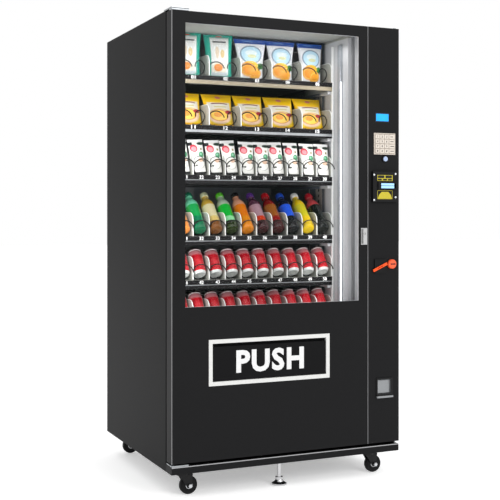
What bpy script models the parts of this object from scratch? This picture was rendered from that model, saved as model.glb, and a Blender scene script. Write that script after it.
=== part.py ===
"""Snack vending machine: a glass-fronted cabinet on casters with a main door, a control-column door,
six lane trays, wire spirals, a delivery bin with a push flap, and the payment fittings.

Metres, +Z up. The front faces -Y, the hinge side of the main door is -X, and the origin is on the
floor under the middle of the machine's box.
"""
import math

import bmesh
import bpy
from mathutils import Matrix, Vector

for old in list(bpy.data.objects):
    bpy.data.objects.remove(old, do_unlink=True)

# ---- driving dimensions ----------------------------------------------------------------------------
HALF_WIDTH = 0.5225          # half of the 1045 mm width
FACE_Y = -0.440              # front face of both doors
BACK_Y = 0.460               # outer face of the back panel
BASE_BOTTOM = 0.0975         # underside of the base frame
BASE_TOP = 0.127             # top of the plinth and of the base plate
CASE_TOP = 1.934             # top of the cabinet
PLATE_TOP = 1.940            # top of the upper hinge plate, the highest point
CASE_FRONT = FACE_Y + 0.070  # front edge of the cabinet behind the doors
COLUMN_FRONT = FACE_Y + 0.038  # the cabinet reaches further forward behind the thinner control door
DOOR_REAR = FACE_Y + 0.060
DOOR_BOTTOM = 0.140
DOOR_TOP = 1.927
GAP = 0.0003                 # clearance between pieces that touch

LEFT_WALL = 0.040            # insulated side, top and back walls
RIGHT_WALL = 0.020
TOP_WALL = 0.040
BACK_WALL = 0.050
PARTITION = (0.310, 0.340)   # wall between the cooled chamber and the control column
SEAM = (0.3635, 0.3665)      # gap between the two doors

WINDOW_X = (-0.465, 0.322)
WINDOW_Z = (0.755, 1.880)
FLAP_FRAME_X = (-0.366, 0.180)
FLAP_FRAME_Z = (0.437, 0.622)

TRAY_X = (-0.430, 0.300)
TRAY_FRONT = FACE_Y + 0.200
TRAY_REAR = 0.340
LABEL_HEIGHTS = (1.695, 1.487, 1.278, 1.022, 0.838, 0.656)
LANES = (5, 5, 10, 10, 10, 10)
DIVIDER_HEIGHTS = (0.090, 0.090, 0.090, 0.098, 0.098, 0.098)
SHEET = 0.002                # tray sheet and divider thickness
MOTOR_HEIGHT = 0.105         # of the motor housing above the tray floor
MOTOR_FRONT = 0.300          # front of the motor housing along the rear of each tray

COIL_RADIUS = 0.029
COIL_OFFSET = 0.0365          # each wide lane has a pair of coils, this far to each side of its middle
COIL_PITCH = 0.084
COIL_TURNS = 6
WIRE_RADIUS = 0.002

MAIN_HINGE = (-0.5075, FACE_Y + 0.030)
COLUMN_HINGE = (0.5125, FACE_Y + 0.020)

WHEEL_RADIUS = 0.0375
WHEEL_SIDES = 24
WHEEL_WIDTH = 0.025
WHEEL_X = 0.429
WHEEL_FRONT_Y = FACE_Y + 0.067
WHEEL_REAR_Y = BACK_Y - 0.067
TRAIL = 0.024                # from a caster's king pin to its wheel centre

SPIRAL_FRONT = TRAY_FRONT - 0.008  # front ends of the spirals
FLAP_AXIS_Y = FACE_Y + 0.022       # pivot line of the push flap
HANDLE_X = 0.347
SPINDLE_Z = 1.051
LEVER_AXIS_Z = 1.0585
LOCK_Z = 1.040
LUG_HEIGHTS = (0.480, 1.080, 1.680)  # coin column hinge lugs
BUTTON = (0.451, 1.361)
KNOB = (0.483, 0.908)
FOOT_X, FOOT_Y = -0.033, FACE_Y + 0.045
BEZEL_FRONT = FACE_Y - 0.020       # front of the banknote snout

parts = bpy.data.collections.new("snack_vending_machine")
cutters = bpy.data.collections.new("cutters")
bpy.context.scene.collection.children.link(parts)
bpy.context.scene.collection.children.link(cutters)


# ---- modelling helpers -----------------------------------------------------------------------------
def finish(name, colour, roughness, metallic=0.0):
    """A Principled material of its own for one piece."""
    material = bpy.data.materials.new(name)
    material.use_nodes = True
    shader = material.node_tree.nodes["Principled BSDF"]
    shader.inputs["Base Color"].default_value = (*colour, 1.0)
    shader.inputs["Roughness"].default_value = roughness
    shader.inputs["Metallic"].default_value = metallic
    return material


def move_to(obj, collection):
    for owner in list(obj.users_collection):
        owner.objects.unlink(obj)
    collection.objects.link(obj)


def keep(obj, name, look):
    """Names a finished piece, gives it its material and files it with the parts."""
    obj.name = name
    obj.data.name = name
    obj.data.materials.clear()
    obj.data.materials.append(finish(name, *look))
    move_to(obj, parts)
    return obj


def helper(obj):
    """A cutter or a joined-on shape: hidden, and filed with the cutters."""
    obj.hide_render = True
    obj.display_type = "WIRE"
    move_to(obj, cutters)
    return obj


def block(low, high):
    """A box between two corners."""
    low, high = Vector(low), Vector(high)
    bpy.ops.mesh.primitive_cube_add(size=1.0, location=(low + high) / 2)
    obj = bpy.context.object
    obj.scale = high - low
    bpy.ops.object.transform_apply(location=False, rotation=False, scale=True)
    return obj


def rod(start, end, radius, sides=16, turn=0.0):
    """A cylinder between two points."""
    start, end = Vector(start), Vector(end)
    bpy.ops.mesh.primitive_cylinder_add(vertices=sides, radius=radius, depth=(end - start).length,
                                        location=(start + end) / 2)
    obj = bpy.context.object
    aim = (end - start).to_track_quat("Z", "Y").to_matrix().to_4x4()
    obj.data.transform(aim @ Matrix.Rotation(turn, 4, "Z"))
    return obj


def turned(profile, centre, steps=24, axis="Z", closed=True):
    """A Screw of a profile of (radius, height) points that runs down its outer side."""
    mesh = bpy.data.meshes.new("profile")
    points = [(radius, 0.0, height) for radius, height in profile]
    edges = [(i, i + 1) for i in range(len(points) - 1)]
    if closed:
        edges.append((len(points) - 1, 0))
    mesh.from_pydata(points, edges, [])
    obj = bpy.data.objects.new("turned", mesh)
    cutters.objects.link(obj)
    obj.location = centre
    if axis == "Y":
        obj.rotation_euler = (math.radians(90), 0, 0)
    screw = obj.modifiers.new("turn", "SCREW")
    screw.steps = steps
    screw.render_steps = steps
    screw.use_merge_vertices = True
    screw.merge_threshold = 0.00001
    return obj


def outline(points, centre, thickness, plane):
    """A flat outline in X and Z, or in Y and Z, given a thickness along the third axis."""
    curve = bpy.data.curves.new("outline", "CURVE")
    curve.dimensions = "2D"
    curve.fill_mode = "BOTH"
    curve.extrude = thickness / 2
    spline = curve.splines.new("POLY")
    spline.points.add(len(points) - 1)
    for point, (across, up) in zip(spline.points, points):
        point.co = (across, up, 0.0, 1.0)
    spline.use_cyclic_u = True
    obj = bpy.data.objects.new("outline", curve)
    turn = Matrix.Rotation(math.radians(90), 4, "X")
    if plane == "YZ":
        turn = Matrix.Rotation(math.radians(90), 4, "Z") @ turn
    obj.matrix_world = Matrix.Translation(centre) @ turn
    cutters.objects.link(obj)
    return as_mesh(obj)


def as_mesh(obj):
    """Turns a curve into a mesh object with its caps welded on."""
    bpy.context.view_layer.update()
    graph = bpy.context.evaluated_depsgraph_get()
    mesh = bpy.data.meshes.new_from_object(obj.evaluated_get(graph))
    welded = bmesh.new()
    welded.from_mesh(mesh)
    bmesh.ops.remove_doubles(welded, verts=welded.verts, dist=0.00001)
    welded.to_mesh(mesh)
    welded.free()
    made = bpy.data.objects.new("from_curve", mesh)
    made.matrix_world = obj.matrix_world
    cutters.objects.link(made)
    bpy.data.objects.remove(obj, do_unlink=True)
    return made


def combine(target, operation, others):
    for other in others:
        helper(other)
        boolean = target.modifiers.new(operation.lower(), "BOOLEAN")
        boolean.operation = operation
        boolean.solver = "EXACT"
        boolean.object = other
    return target


def cut(target, *others):
    return combine(target, "DIFFERENCE", others)


def join(target, *others):
    return combine(target, "UNION", others)


def pivot(name, place, parent=None):
    """An empty on a joint's axis, which carries the pieces that move."""
    empty = bpy.data.objects.new(name, None)
    parts.objects.link(empty)
    empty["place"] = place
    hang(empty, parent)
    empty.location = place
    return empty


def hang(obj, parent):
    """Parents an object to an empty without moving it."""
    if parent is not None:
        obj.parent = parent
        obj.matrix_parent_inverse = Matrix.Translation(-Vector(parent["place"]))
    return obj


# ---- looks -----------------------------------------------------------------------------------------
BLACK_PAINT = ((0.030, 0.030, 0.031), 0.42)
LINER = ((0.55, 0.57, 0.58), 0.5)
STEEL = ((0.55, 0.56, 0.57), 0.32, 1.0)
CHROME = ((0.75, 0.75, 0.76), 0.12, 1.0)
DARK_PLASTIC = ((0.018, 0.018, 0.019), 0.5)
RUBBER = ((0.015, 0.015, 0.015), 0.8)
GLASS = ((0.62, 0.68, 0.70), 0.04)
ORANGE = ((0.86, 0.09, 0.013), 0.4)
BEIGE = ((0.77, 0.68, 0.60), 0.55)
WHITE = ((0.80, 0.80, 0.80), 0.45)
BLUE = ((0.01, 0.40, 1.0), 0.3)


# ---- cabinet ---------------------------------------------------------------------------------------
def rail_blocks(x_low, x_high):
    """The ledges that the six trays sit on, along one wall."""
    ledges = []
    for label in LABEL_HEIGHTS:
        top = label - 0.028 - GAP
        ledges.append(block((x_low, TRAY_FRONT + 0.010, top - 0.012), (x_high, TRAY_REAR - 0.010, top)))
    return ledges


def make_cabinet():
    chamber_left = -HALF_WIDTH + LEFT_WALL
    column_right = HALF_WIDTH - RIGHT_WALL
    left = block((-HALF_WIDTH, CASE_FRONT, BASE_BOTTOM), (chamber_left, BACK_Y, CASE_TOP))
    join(left, *rail_blocks(chamber_left - 0.003, TRAY_X[0] + 0.014))
    keep(left, "left_side_panel", BLACK_PAINT)

    right = block((column_right, CASE_FRONT, BASE_BOTTOM), (HALF_WIDTH, BACK_Y, CASE_TOP))
    join(right, block((column_right, COLUMN_FRONT, BASE_TOP + GAP), (HALF_WIDTH, CASE_FRONT + 0.010, DOOR_TOP)))
    keep(right, "right_side_panel", BLACK_PAINT)

    inner_left, inner_right = chamber_left + GAP, column_right - GAP
    top = block((inner_left, CASE_FRONT, CASE_TOP - TOP_WALL), (inner_right, BACK_Y, CASE_TOP))
    join(top, block((SEAM[1], COLUMN_FRONT, CASE_TOP - TOP_WALL + 0.002), (inner_right, CASE_FRONT + 0.010, DOOR_TOP)))
    keep(top, "top_panel", BLACK_PAINT)

    back = block((inner_left, BACK_Y - BACK_WALL, BASE_TOP + GAP),
                 (inner_right, BACK_Y, CASE_TOP - TOP_WALL - GAP))
    keep(back, "back_panel", BLACK_PAINT)

    partition = block((PARTITION[0], CASE_FRONT, BASE_TOP + GAP),
                      (PARTITION[1], BACK_Y - BACK_WALL - GAP, CASE_TOP - TOP_WALL - GAP))
    join(partition, *rail_blocks(TRAY_X[1] - 0.014, PARTITION[0] + 0.003))
    keep(partition, "column_partition", LINER)

    deck = block((inner_left, CASE_FRONT + 0.003, 0.400),
                 (PARTITION[0] - GAP, BACK_Y - BACK_WALL - GAP, 0.430))
    keep(deck, "chamber_floor", LINER)
    make_base(inner_left, inner_right)


def caster_pins():
    """King-pin places of the four casters, with the side that each wheel trails to."""
    places = {}
    for end, wheel_y in (("front", WHEEL_FRONT_Y), ("rear", WHEEL_REAR_Y)):
        for side, sign in (("left", -1), ("right", 1)):
            places[f"{end}_{side}"] = (sign * WHEEL_X - TRAIL, wheel_y)
    return places


def make_base(inner_left, inner_right):
    base = block((-HALF_WIDTH, FACE_Y + 0.002, BASE_BOTTOM), (HALF_WIDTH, CASE_FRONT - 0.0005, BASE_TOP))
    plate = block((inner_left, CASE_FRONT - 0.010, BASE_BOTTOM), (inner_right, BACK_Y, BASE_TOP))
    join(base, plate)
    for x, y in caster_pins().values():
        west, east, south, north, low = x - 0.042, x + 0.042, y - 0.035, y + 0.035, BASE_BOTTOM - 0.003
        join(base,
             block((max(west, inner_left), south, low), (min(east, inner_right), north, BASE_BOTTOM + 0.003)),
             block((west, south, low), (east, north, BASE_BOTTOM - GAP)))
        cut(base, rod((x, y, BASE_BOTTOM - 0.010), (x, y, BASE_BOTTOM + 0.020), 0.0066))
    cut(base, rod((FOOT_X, FOOT_Y, BASE_BOTTOM - 0.010), (FOOT_X, FOOT_Y, BASE_TOP - 0.0015), 0.0100))
    keep(base, "base_frame", BLACK_PAINT)


def make_bin():
    """A folded trough under the drop gap, open to the front and the top."""
    low, high = (-0.420, CASE_FRONT + 0.005, 0.4303), (0.240, -0.100, 0.600)
    wall = 0.003
    trough = block(low, high)
    cut(trough, block((low[0] + wall, low[1] - 0.010, low[2] + wall), (high[0] - wall, high[1] - wall, high[2] + 0.010)))
    keep(trough, "delivery_bin", STEEL)


def make_refrigeration():
    """Compressor, condenser and tray of the cooling unit in the bay under the chamber floor."""
    unit = block((-0.400, -0.100, BASE_TOP + GAP), (0.250, 0.390, BASE_TOP + 0.004))
    join(unit,
         rod((0.110, 0.130, BASE_TOP + 0.002), (0.110, 0.130, 0.320), 0.080, 20),
         block((-0.380, 0.250, BASE_TOP + 0.002), (-0.020, 0.350, 0.370)))
    keep(unit, "refrigeration_unit", DARK_PLASTIC)


# ---- trays and spirals -----------------------------------------------------------------------------
def tray_floor(label):
    return label + 0.009


def lane_centres(lanes):
    pitch = (TRAY_X[1] - TRAY_X[0]) / lanes
    return [TRAY_X[0] + pitch * (lane + 0.5) for lane in range(lanes)]


def comb(lanes, divider_height):
    """The section of a tray: a floor with a divider on each side of every lane."""
    pitch = (TRAY_X[1] - TRAY_X[0] - SHEET) / lanes
    points = [(TRAY_X[0], -SHEET)]
    for wall in reversed(range(lanes + 1)):
        left = TRAY_X[0] + wall * pitch
        if wall == lanes:
            points.append((left + SHEET, -SHEET))
        else:
            points.append((left + SHEET, 0.0))
        points.append((left + SHEET, divider_height))
        points.append((left, divider_height))
        if wall:
            points.append((left, 0.0))
    return points


def make_trays():
    for number, (label, lanes, tall) in enumerate(zip(LABEL_HEIGHTS, LANES, DIVIDER_HEIGHTS), 1):
        floor = tray_floor(label)
        middle = (TRAY_FRONT + TRAY_REAR) / 2
        tray = outline(comb(lanes, tall), (0.0, middle, floor), TRAY_REAR - TRAY_FRONT, "XZ")
        corner = 0.36 * tall
        centre_y, centre_z = TRAY_FRONT + corner - 0.001, floor + tall - corner + 0.001
        rounding = block((TRAY_X[0] - 0.01, TRAY_FRONT - 0.01, centre_z), (TRAY_X[1] + 0.01, centre_y, floor + tall + 0.01))
        cut(rounding, rod((TRAY_X[0] - 0.02, centre_y, centre_z), (TRAY_X[1] + 0.02, centre_y, centre_z), corner, 24))
        cut(tray, rounding)
        lip = block((TRAY_X[0], TRAY_FRONT - 0.002, label - 0.028), (TRAY_X[1], TRAY_FRONT + 0.001, label + 0.010))
        motors = block((TRAY_X[0], MOTOR_FRONT, label - 0.028), (TRAY_X[1], TRAY_REAR, floor + MOTOR_HEIGHT))
        skirts = [block((x, TRAY_FRONT + 0.0005, label - 0.0277), (x + 0.0015, TRAY_REAR - 0.0005, floor - 0.001))
                  for x in (TRAY_X[0] + 0.0003, TRAY_X[1] - 0.0018)]
        join(tray, lip, motors, *skirts)
        keep(tray, f"tray_{number}", STEEL)


def spiral_points(hand):
    """A helix about +Y that starts at the right for hand 1 or the left for hand -1, goes over the top first, and is
    drawn in to the motor's socket."""
    per_turn = 10
    last_step = COIL_TURNS * per_turn
    end = COIL_PITCH * COIL_TURNS

    def place(turn, radius, depth):
        angle = 2 * math.pi * (turn + 0.25)
        return (hand * radius * math.sin(angle), depth, -radius * math.cos(angle))

    points = [place(step / per_turn, COIL_RADIUS, COIL_PITCH * step / per_turn) for step in range(last_step + 1)]
    points += [place(COIL_TURNS + step / 12, COIL_RADIUS * (1 - step / 4), end + 0.0035 * step) for step in (1, 2, 3)]
    return points + [(0.0, end + 0.014, 0.0), (0.0, MOTOR_FRONT - GAP - SPIRAL_FRONT, 0.0)]


def make_spirals():
    """The top tray's wire spirals: a left-hand and a right-hand one in each lane, which turn against each other."""
    height = tray_floor(LABEL_HEIGHTS[0]) + COIL_RADIUS + 0.005
    pairs = [(middle + side * COIL_OFFSET, -side) for middle in lane_centres(LANES[0]) for side in (-1, 1)]
    for number, (x, hand) in enumerate(pairs, 1):
        curve = bpy.data.curves.new("spiral", "CURVE")
        curve.dimensions = "3D"
        curve.bevel_depth = WIRE_RADIUS
        curve.bevel_resolution = 0
        curve.use_fill_caps = True
        spline = curve.splines.new("POLY")
        points = spiral_points(hand)
        spline.points.add(len(points) - 1)
        for point, place in zip(spline.points, points):
            point.co = (*place, 1.0)
        spiral = bpy.data.objects.new("spiral", curve)
        spiral.location = (x, SPIRAL_FRONT, height)
        parts.objects.link(spiral)
        keep(spiral, f"spiral_{number:02d}", DARK_PLASTIC)


# ---- main door -------------------------------------------------------------------------------------
def window_block(margin, front, rear):
    return block((WINDOW_X[0] - margin, front, WINDOW_Z[0] - margin), (WINDOW_X[1] + margin, rear, WINDOW_Z[1] + margin))


def flap_block(margin, front, rear):
    return block((FLAP_FRAME_X[0] - margin, front, FLAP_FRAME_Z[0] - margin),
                 (FLAP_FRAME_X[1] + margin, rear, FLAP_FRAME_Z[1] + margin))


def make_main_door():
    x, y = MAIN_HINGE
    swing = pivot("main_door_pivot", (x, y, DOOR_BOTTOM))
    door = block((-HALF_WIDTH, FACE_Y, DOOR_BOTTOM), (SEAM[0], DOOR_REAR, DOOR_TOP))
    bezel_depth = 0.012
    cut(door,
        window_block(0.0, FACE_Y - 0.01, DOOR_REAR + 0.01),
        window_block(0.015, FACE_Y + 0.012, DOOR_REAR + 0.01),
        flap_block(GAP, FACE_Y - 0.01, FACE_Y + bezel_depth + GAP),
        flap_block(-0.012, FACE_Y, DOOR_REAR + 0.01),
        rod((x, y, DOOR_TOP - 0.022), (x, y, DOOR_TOP + 0.01), 0.0068),
        rod((x, y, DOOR_BOTTOM - 0.01), (x, y, DOOR_BOTTOM + 0.022), 0.0068),
        rod((HANDLE_X, FACE_Y - 0.01, SPINDLE_Z), (HANDLE_X, DOOR_REAR + 0.01, SPINDLE_Z), 0.0056))
    hang(keep(door, "door_frame", BLACK_PAINT), swing)

    glass = window_block(0.015 - GAP, FACE_Y + 0.012 + GAP, FACE_Y + 0.032)
    hang(keep(glass, "door_glass", GLASS), swing)

    seal = block((-0.500, DOOR_REAR + GAP, 0.165), (0.339, CASE_FRONT - 0.0008, 1.905))
    cut(seal, block((-0.485, DOOR_REAR - 0.01, 0.185), (0.322 + 0.003, CASE_FRONT + 0.01, 1.890)))
    hang(keep(seal, "door_gasket", RUBBER), swing)

    bezel = flap_block(0.0, FACE_Y - 0.002, FACE_Y + bezel_depth)
    cut(bezel, flap_block(-0.016, FACE_Y - 0.01, FACE_Y + 0.02))
    hang(keep(bezel, "flap_bezel", WHITE), swing)

    make_push_flap(swing)
    make_handle(swing)


def make_push_flap(swing):
    """The black flap inside the bezel, hung on a rod along its top edge and swinging inwards."""
    reveal = 0.0175
    low_x, high_x = FLAP_FRAME_X[0] + reveal, FLAP_FRAME_X[1] - reveal
    low_z, high_z = FLAP_FRAME_Z[0] + reveal + 0.0015, FLAP_FRAME_Z[1] - reveal
    axis_z = high_z - 0.006
    flap_pivot = pivot("push_flap_pivot", (0.0, FLAP_AXIS_Y, axis_z), swing)
    flap = block((low_x, FACE_Y + 0.001, low_z), (high_x, FACE_Y + 0.004, high_z - 0.012))
    join(flap,
         block((low_x + 0.002, FACE_Y + 0.003, high_z - 0.020), (high_x - 0.002, FLAP_AXIS_Y + 0.002, high_z - 0.012)),
         block((low_x + 0.002, FLAP_AXIS_Y - 0.003, high_z - 0.020), (high_x - 0.002, FLAP_AXIS_Y + 0.002, axis_z)),
         rod((low_x - 0.0005, FLAP_AXIS_Y, axis_z), (high_x + 0.0005, FLAP_AXIS_Y, axis_z), 0.0045, 12))
    hang(keep(flap, "push_flap", DARK_PLASTIC), flap_pivot)


def make_handle(swing):
    """Escutcheon plate, turning spindle with its latch cam, flip-out lever and lock barrel."""
    plate = block((0.332, FACE_Y - 0.003, 0.993), (0.3620, FACE_Y - GAP, 1.064))
    cut(plate, rod((HANDLE_X, FACE_Y - 0.01, SPINDLE_Z), (HANDLE_X, FACE_Y + 0.01, SPINDLE_Z), 0.0056))
    hang(keep(plate, "handle_plate", CHROME), swing)

    turn = pivot("handle_turn_pivot", (HANDLE_X, FACE_Y, SPINDLE_Z), swing)
    spindle = rod((HANDLE_X, FACE_Y - 0.0042, SPINDLE_Z), (HANDLE_X, -0.352, SPINDLE_Z), 0.0050)
    join(spindle, block((HANDLE_X - 0.0045, -0.358, SPINDLE_Z - 0.003), (HANDLE_X + 0.0045, -0.350, SPINDLE_Z + 0.045)))
    hang(keep(spindle, "handle_spindle", STEEL), turn)

    pop = pivot("handle_lever_pivot", (HANDLE_X, FACE_Y - 0.008, LEVER_AXIS_Z), turn)
    lever = block((0.338, FACE_Y - 0.0125, 0.997), (0.356, FACE_Y - 0.0045, LEVER_AXIS_Z + 0.0015))
    cut(lever, rod((HANDLE_X, FACE_Y - 0.02, LOCK_Z), (HANDLE_X, FACE_Y, LOCK_Z), 0.0066))
    hang(keep(lever, "handle_lever", CHROME), pop)

    key = pivot("lock_pivot", (HANDLE_X, FACE_Y - 0.009, LOCK_Z), pop)
    barrel = rod((HANDLE_X, FACE_Y - 0.0138, LOCK_Z), (HANDLE_X, FACE_Y - 0.0048, LOCK_Z), 0.0062)
    hang(keep(barrel, "lock_cylinder", STEEL), key)


def make_hinges():
    x, y = MAIN_HINGE
    upper = block((-HALF_WIDTH, FACE_Y, CASE_TOP + GAP), (-HALF_WIDTH + 0.073, FACE_Y + 0.092, PLATE_TOP))
    join(upper, rod((x, y, DOOR_TOP - 0.018), (x, y, CASE_TOP + 0.003), 0.0060))
    keep(upper, "upper_hinge_bracket", STEEL)

    lower = block((-HALF_WIDTH + 0.002, FACE_Y + 0.004, BASE_TOP + GAP), (-0.450, CASE_FRONT - 0.002, BASE_TOP + 0.006))
    join(lower, rod((x, y, BASE_TOP + 0.003), (x, y, DOOR_BOTTOM + 0.018), 0.0060))
    keep(lower, "lower_hinge_bracket", STEEL)

    x, y = COLUMN_HINGE
    hinge = rod((x, y, BASE_TOP + GAP), (x, y, 1.931), 0.0040, 12)
    join(hinge, block((x - 0.005, y - 0.005, DOOR_TOP + 0.0008), (x + 0.005, CASE_FRONT - GAP, CASE_TOP - 0.001)))
    keep(hinge, "column_hinge_rod", STEEL)


# ---- control column --------------------------------------------------------------------------------
def make_control_door():
    x, y = COLUMN_HINGE
    swing = pivot("control_door_pivot", (x, y, DOOR_BOTTOM))
    sheet, flange_rear = 0.003, FACE_Y + 0.033
    door = block((SEAM[1], FACE_Y, DOOR_BOTTOM), (HALF_WIDTH, flange_rear, DOOR_TOP))
    cut(door, block((SEAM[1] + sheet, FACE_Y + sheet, DOOR_BOTTOM + sheet),
                    (HALF_WIDTH - sheet, flange_rear + 0.01, DOOR_TOP - sheet)))
    for height in LUG_HEIGHTS:
        join(door, block((x - 0.008, y - 0.008, height - 0.010), (HALF_WIDTH - 0.001, y + 0.008, height + 0.010)))
    cut(door,
        rod((x, y, 0.100), (x, y, 1.990), 0.0047, 12),
        block((0.4045, FACE_Y - 0.01, 1.5195), (0.4755, FACE_Y + 0.01, 1.5595)),
        block((0.4000, FACE_Y - 0.01, 1.3840), (0.4980, FACE_Y + 0.01, 1.4680)),
        button_hole(),
        block((0.4210, FACE_Y - 0.01, 1.2330), (0.4970, FACE_Y + 0.01, 1.2570)),
        knob_hole(),
        block((0.4078, FACE_Y - 0.01, 0.3328), (0.4882, FACE_Y + 0.01, 0.4172)))
    hang(keep(door, "control_door", BLACK_PAINT), swing)
    return swing


def button_hole():
    return rod((BUTTON[0], FACE_Y - 0.01, BUTTON[1]), (BUTTON[0], FACE_Y + 0.01, BUTTON[1]), 0.0110)


def knob_hole():
    return rod((KNOB[0], FACE_Y - 0.01, KNOB[1]), (KNOB[0], FACE_Y + 0.01, KNOB[1]), 0.0070)


def make_panel_fittings(swing):
    display = block((0.4048, FACE_Y + 0.0012, 1.5198), (0.4752, FACE_Y + 0.016, 1.5592))
    hang(keep(display, "display", BLUE), swing)

    plate = block((0.396, FACE_Y - 0.0035, 1.380), (0.502, FACE_Y - GAP, 1.472))
    cut(plate, block((0.400, FACE_Y - 0.01, 1.384), (0.498, FACE_Y + 0.01, 1.468)))
    hang(keep(plate, "keypad_plate", BEIGE), swing)
    make_keys(pivot("keypad_pivot", (0.449, FACE_Y, 1.426), swing))

    ring = turned([(0.0145, 0.0055), (0.0145, GAP), (0.0110, GAP), (0.0110, 0.0055)],
                  (BUTTON[0], FACE_Y, BUTTON[1]), axis="Y")
    hang(keep(ring, "button_ring", CHROME), swing)
    press = pivot("button_pivot", (BUTTON[0], FACE_Y, BUTTON[1]), swing)
    cap = rod((BUTTON[0], FACE_Y - 0.0085, BUTTON[1]), (BUTTON[0], FACE_Y + 0.012, BUTTON[1]), 0.0104, 20)
    hang(keep(cap, "button_cap", STEEL), press)


def make_keys(press):
    """One moulded mat that carries four rows of four keys, the last column wider."""
    mat = block((0.4006, FACE_Y - 0.0012, 1.3846), (0.4974, FACE_Y + 0.0010, 1.4674))
    widths = (0.0205, 0.0205, 0.0205, 0.0265)
    key_tall, step = 0.0175, 0.0206
    left = 0.4016
    keys = []
    for width in widths:
        for row in range(4):
            bottom = 1.3862 + row * step
            keys.append(block((left, FACE_Y - 0.0065, bottom), (left + width, FACE_Y, bottom + key_tall)))
        left += width + 0.0022
    join(mat, *keys)
    hang(keep(mat, "keypad_mat", BEIGE), press)


def make_payment(swing):
    bezel = block((0.385, FACE_Y - 0.014, 1.176), (0.510, FACE_Y - GAP, 1.306))
    snout = block((0.408, BEZEL_FRONT, 1.228), (0.503, FACE_Y - 0.010, 1.262))
    join(bezel, snout)
    cut(bezel, block((0.4220, BEZEL_FRONT - 0.01, 1.2340), (0.4960, FACE_Y + 0.01, 1.2560)))
    hang(keep(bezel, "bill_bezel", DARK_PLASTIC), swing)

    reader = block((0.400, FACE_Y + 0.004, 1.180), (0.500, FACE_Y + 0.100, 1.300))
    cut(reader, block((0.4235, FACE_Y - 0.01, 1.2370), (0.4945, FACE_Y + 0.070, 1.2530)))
    hang(keep(reader, "bill_validator", DARK_PLASTIC), swing)

    inlet = block((0.398, FACE_Y - 0.006, 0.869), (0.457, FACE_Y - GAP, 0.929))
    bar = block((-0.037, -0.006, -0.0055), (0.037, 0.003, 0.0055))
    bar.location = (0.4235, FACE_Y - 0.006, 0.8955)
    bar.rotation_euler = (0, -math.radians(24), 0)
    join(inlet, bar)
    slot = block((-0.0150, -0.020, -0.0016), (0.0150, 0.009, 0.0016))
    slot.location = (0.4235, FACE_Y - 0.006, 0.8955)
    slot.rotation_euler = (0, -math.radians(24), 0)
    cut(inlet, slot)
    hang(keep(inlet, "coin_inlet", DARK_PLASTIC), swing)

    turn = pivot("coin_return_pivot", (KNOB[0], FACE_Y, KNOB[1]), swing)
    knob = turned([(0.0, 0.0165), (0.0165, 0.0150), (0.0200, 0.0110), (0.0200, GAP), (0.0062, GAP),
                   (0.0062, -0.0150), (0.0, -0.0150)],
                  (KNOB[0], FACE_Y, KNOB[1]), axis="Y", closed=False)
    hang(keep(knob, "coin_return_knob", ORANGE), turn)
    make_coin_cup(swing)


def make_coin_cup(swing):
    """A pressed cup let into the door, with a flap hung along the top of its mouth."""
    rear = FACE_Y + 0.055
    cup = block((0.4082, FACE_Y - 0.004, 0.3332), (0.4878, rear, 0.4168))
    cut(cup, block((0.4140, FACE_Y - 0.010, 0.3500), (0.4820, rear - 0.003, 0.4110)))
    lip = block((0.4082, FACE_Y - 0.010, 0.3332), (0.4878, FACE_Y - 0.002, 0.3430))
    join(cup, lip)
    hang(keep(cup, "coin_cup", STEEL), swing)
    hinge_z = 0.4070
    hinge_y = FACE_Y + 0.006
    tilt = pivot("coin_flap_pivot", (0.448, hinge_y, hinge_z), swing)
    flap = block((0.4150, hinge_y - 0.001, 0.3520), (0.4810, hinge_y + 0.001, hinge_z))
    join(flap, rod((0.4144, hinge_y, hinge_z), (0.4816, hinge_y, hinge_z), 0.0025, 12))
    hang(keep(flap, "coin_flap", STEEL), tilt)


def make_column_units():
    lamp = block((0.2960, FACE_Y + 0.118, 0.640), (PARTITION[0] - GAP, FACE_Y + 0.140, 1.860))
    keep(lamp, "led_lamp", WHITE)
    changer = block((PARTITION[1] + GAP, FACE_Y + 0.130, 0.560), (0.480, FACE_Y + 0.300, 0.900))
    cut(changer, block((0.380, FACE_Y + 0.150, 0.850), (0.440, FACE_Y + 0.280, 0.910)))
    keep(changer, "coin_changer", DARK_PLASTIC)


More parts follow.
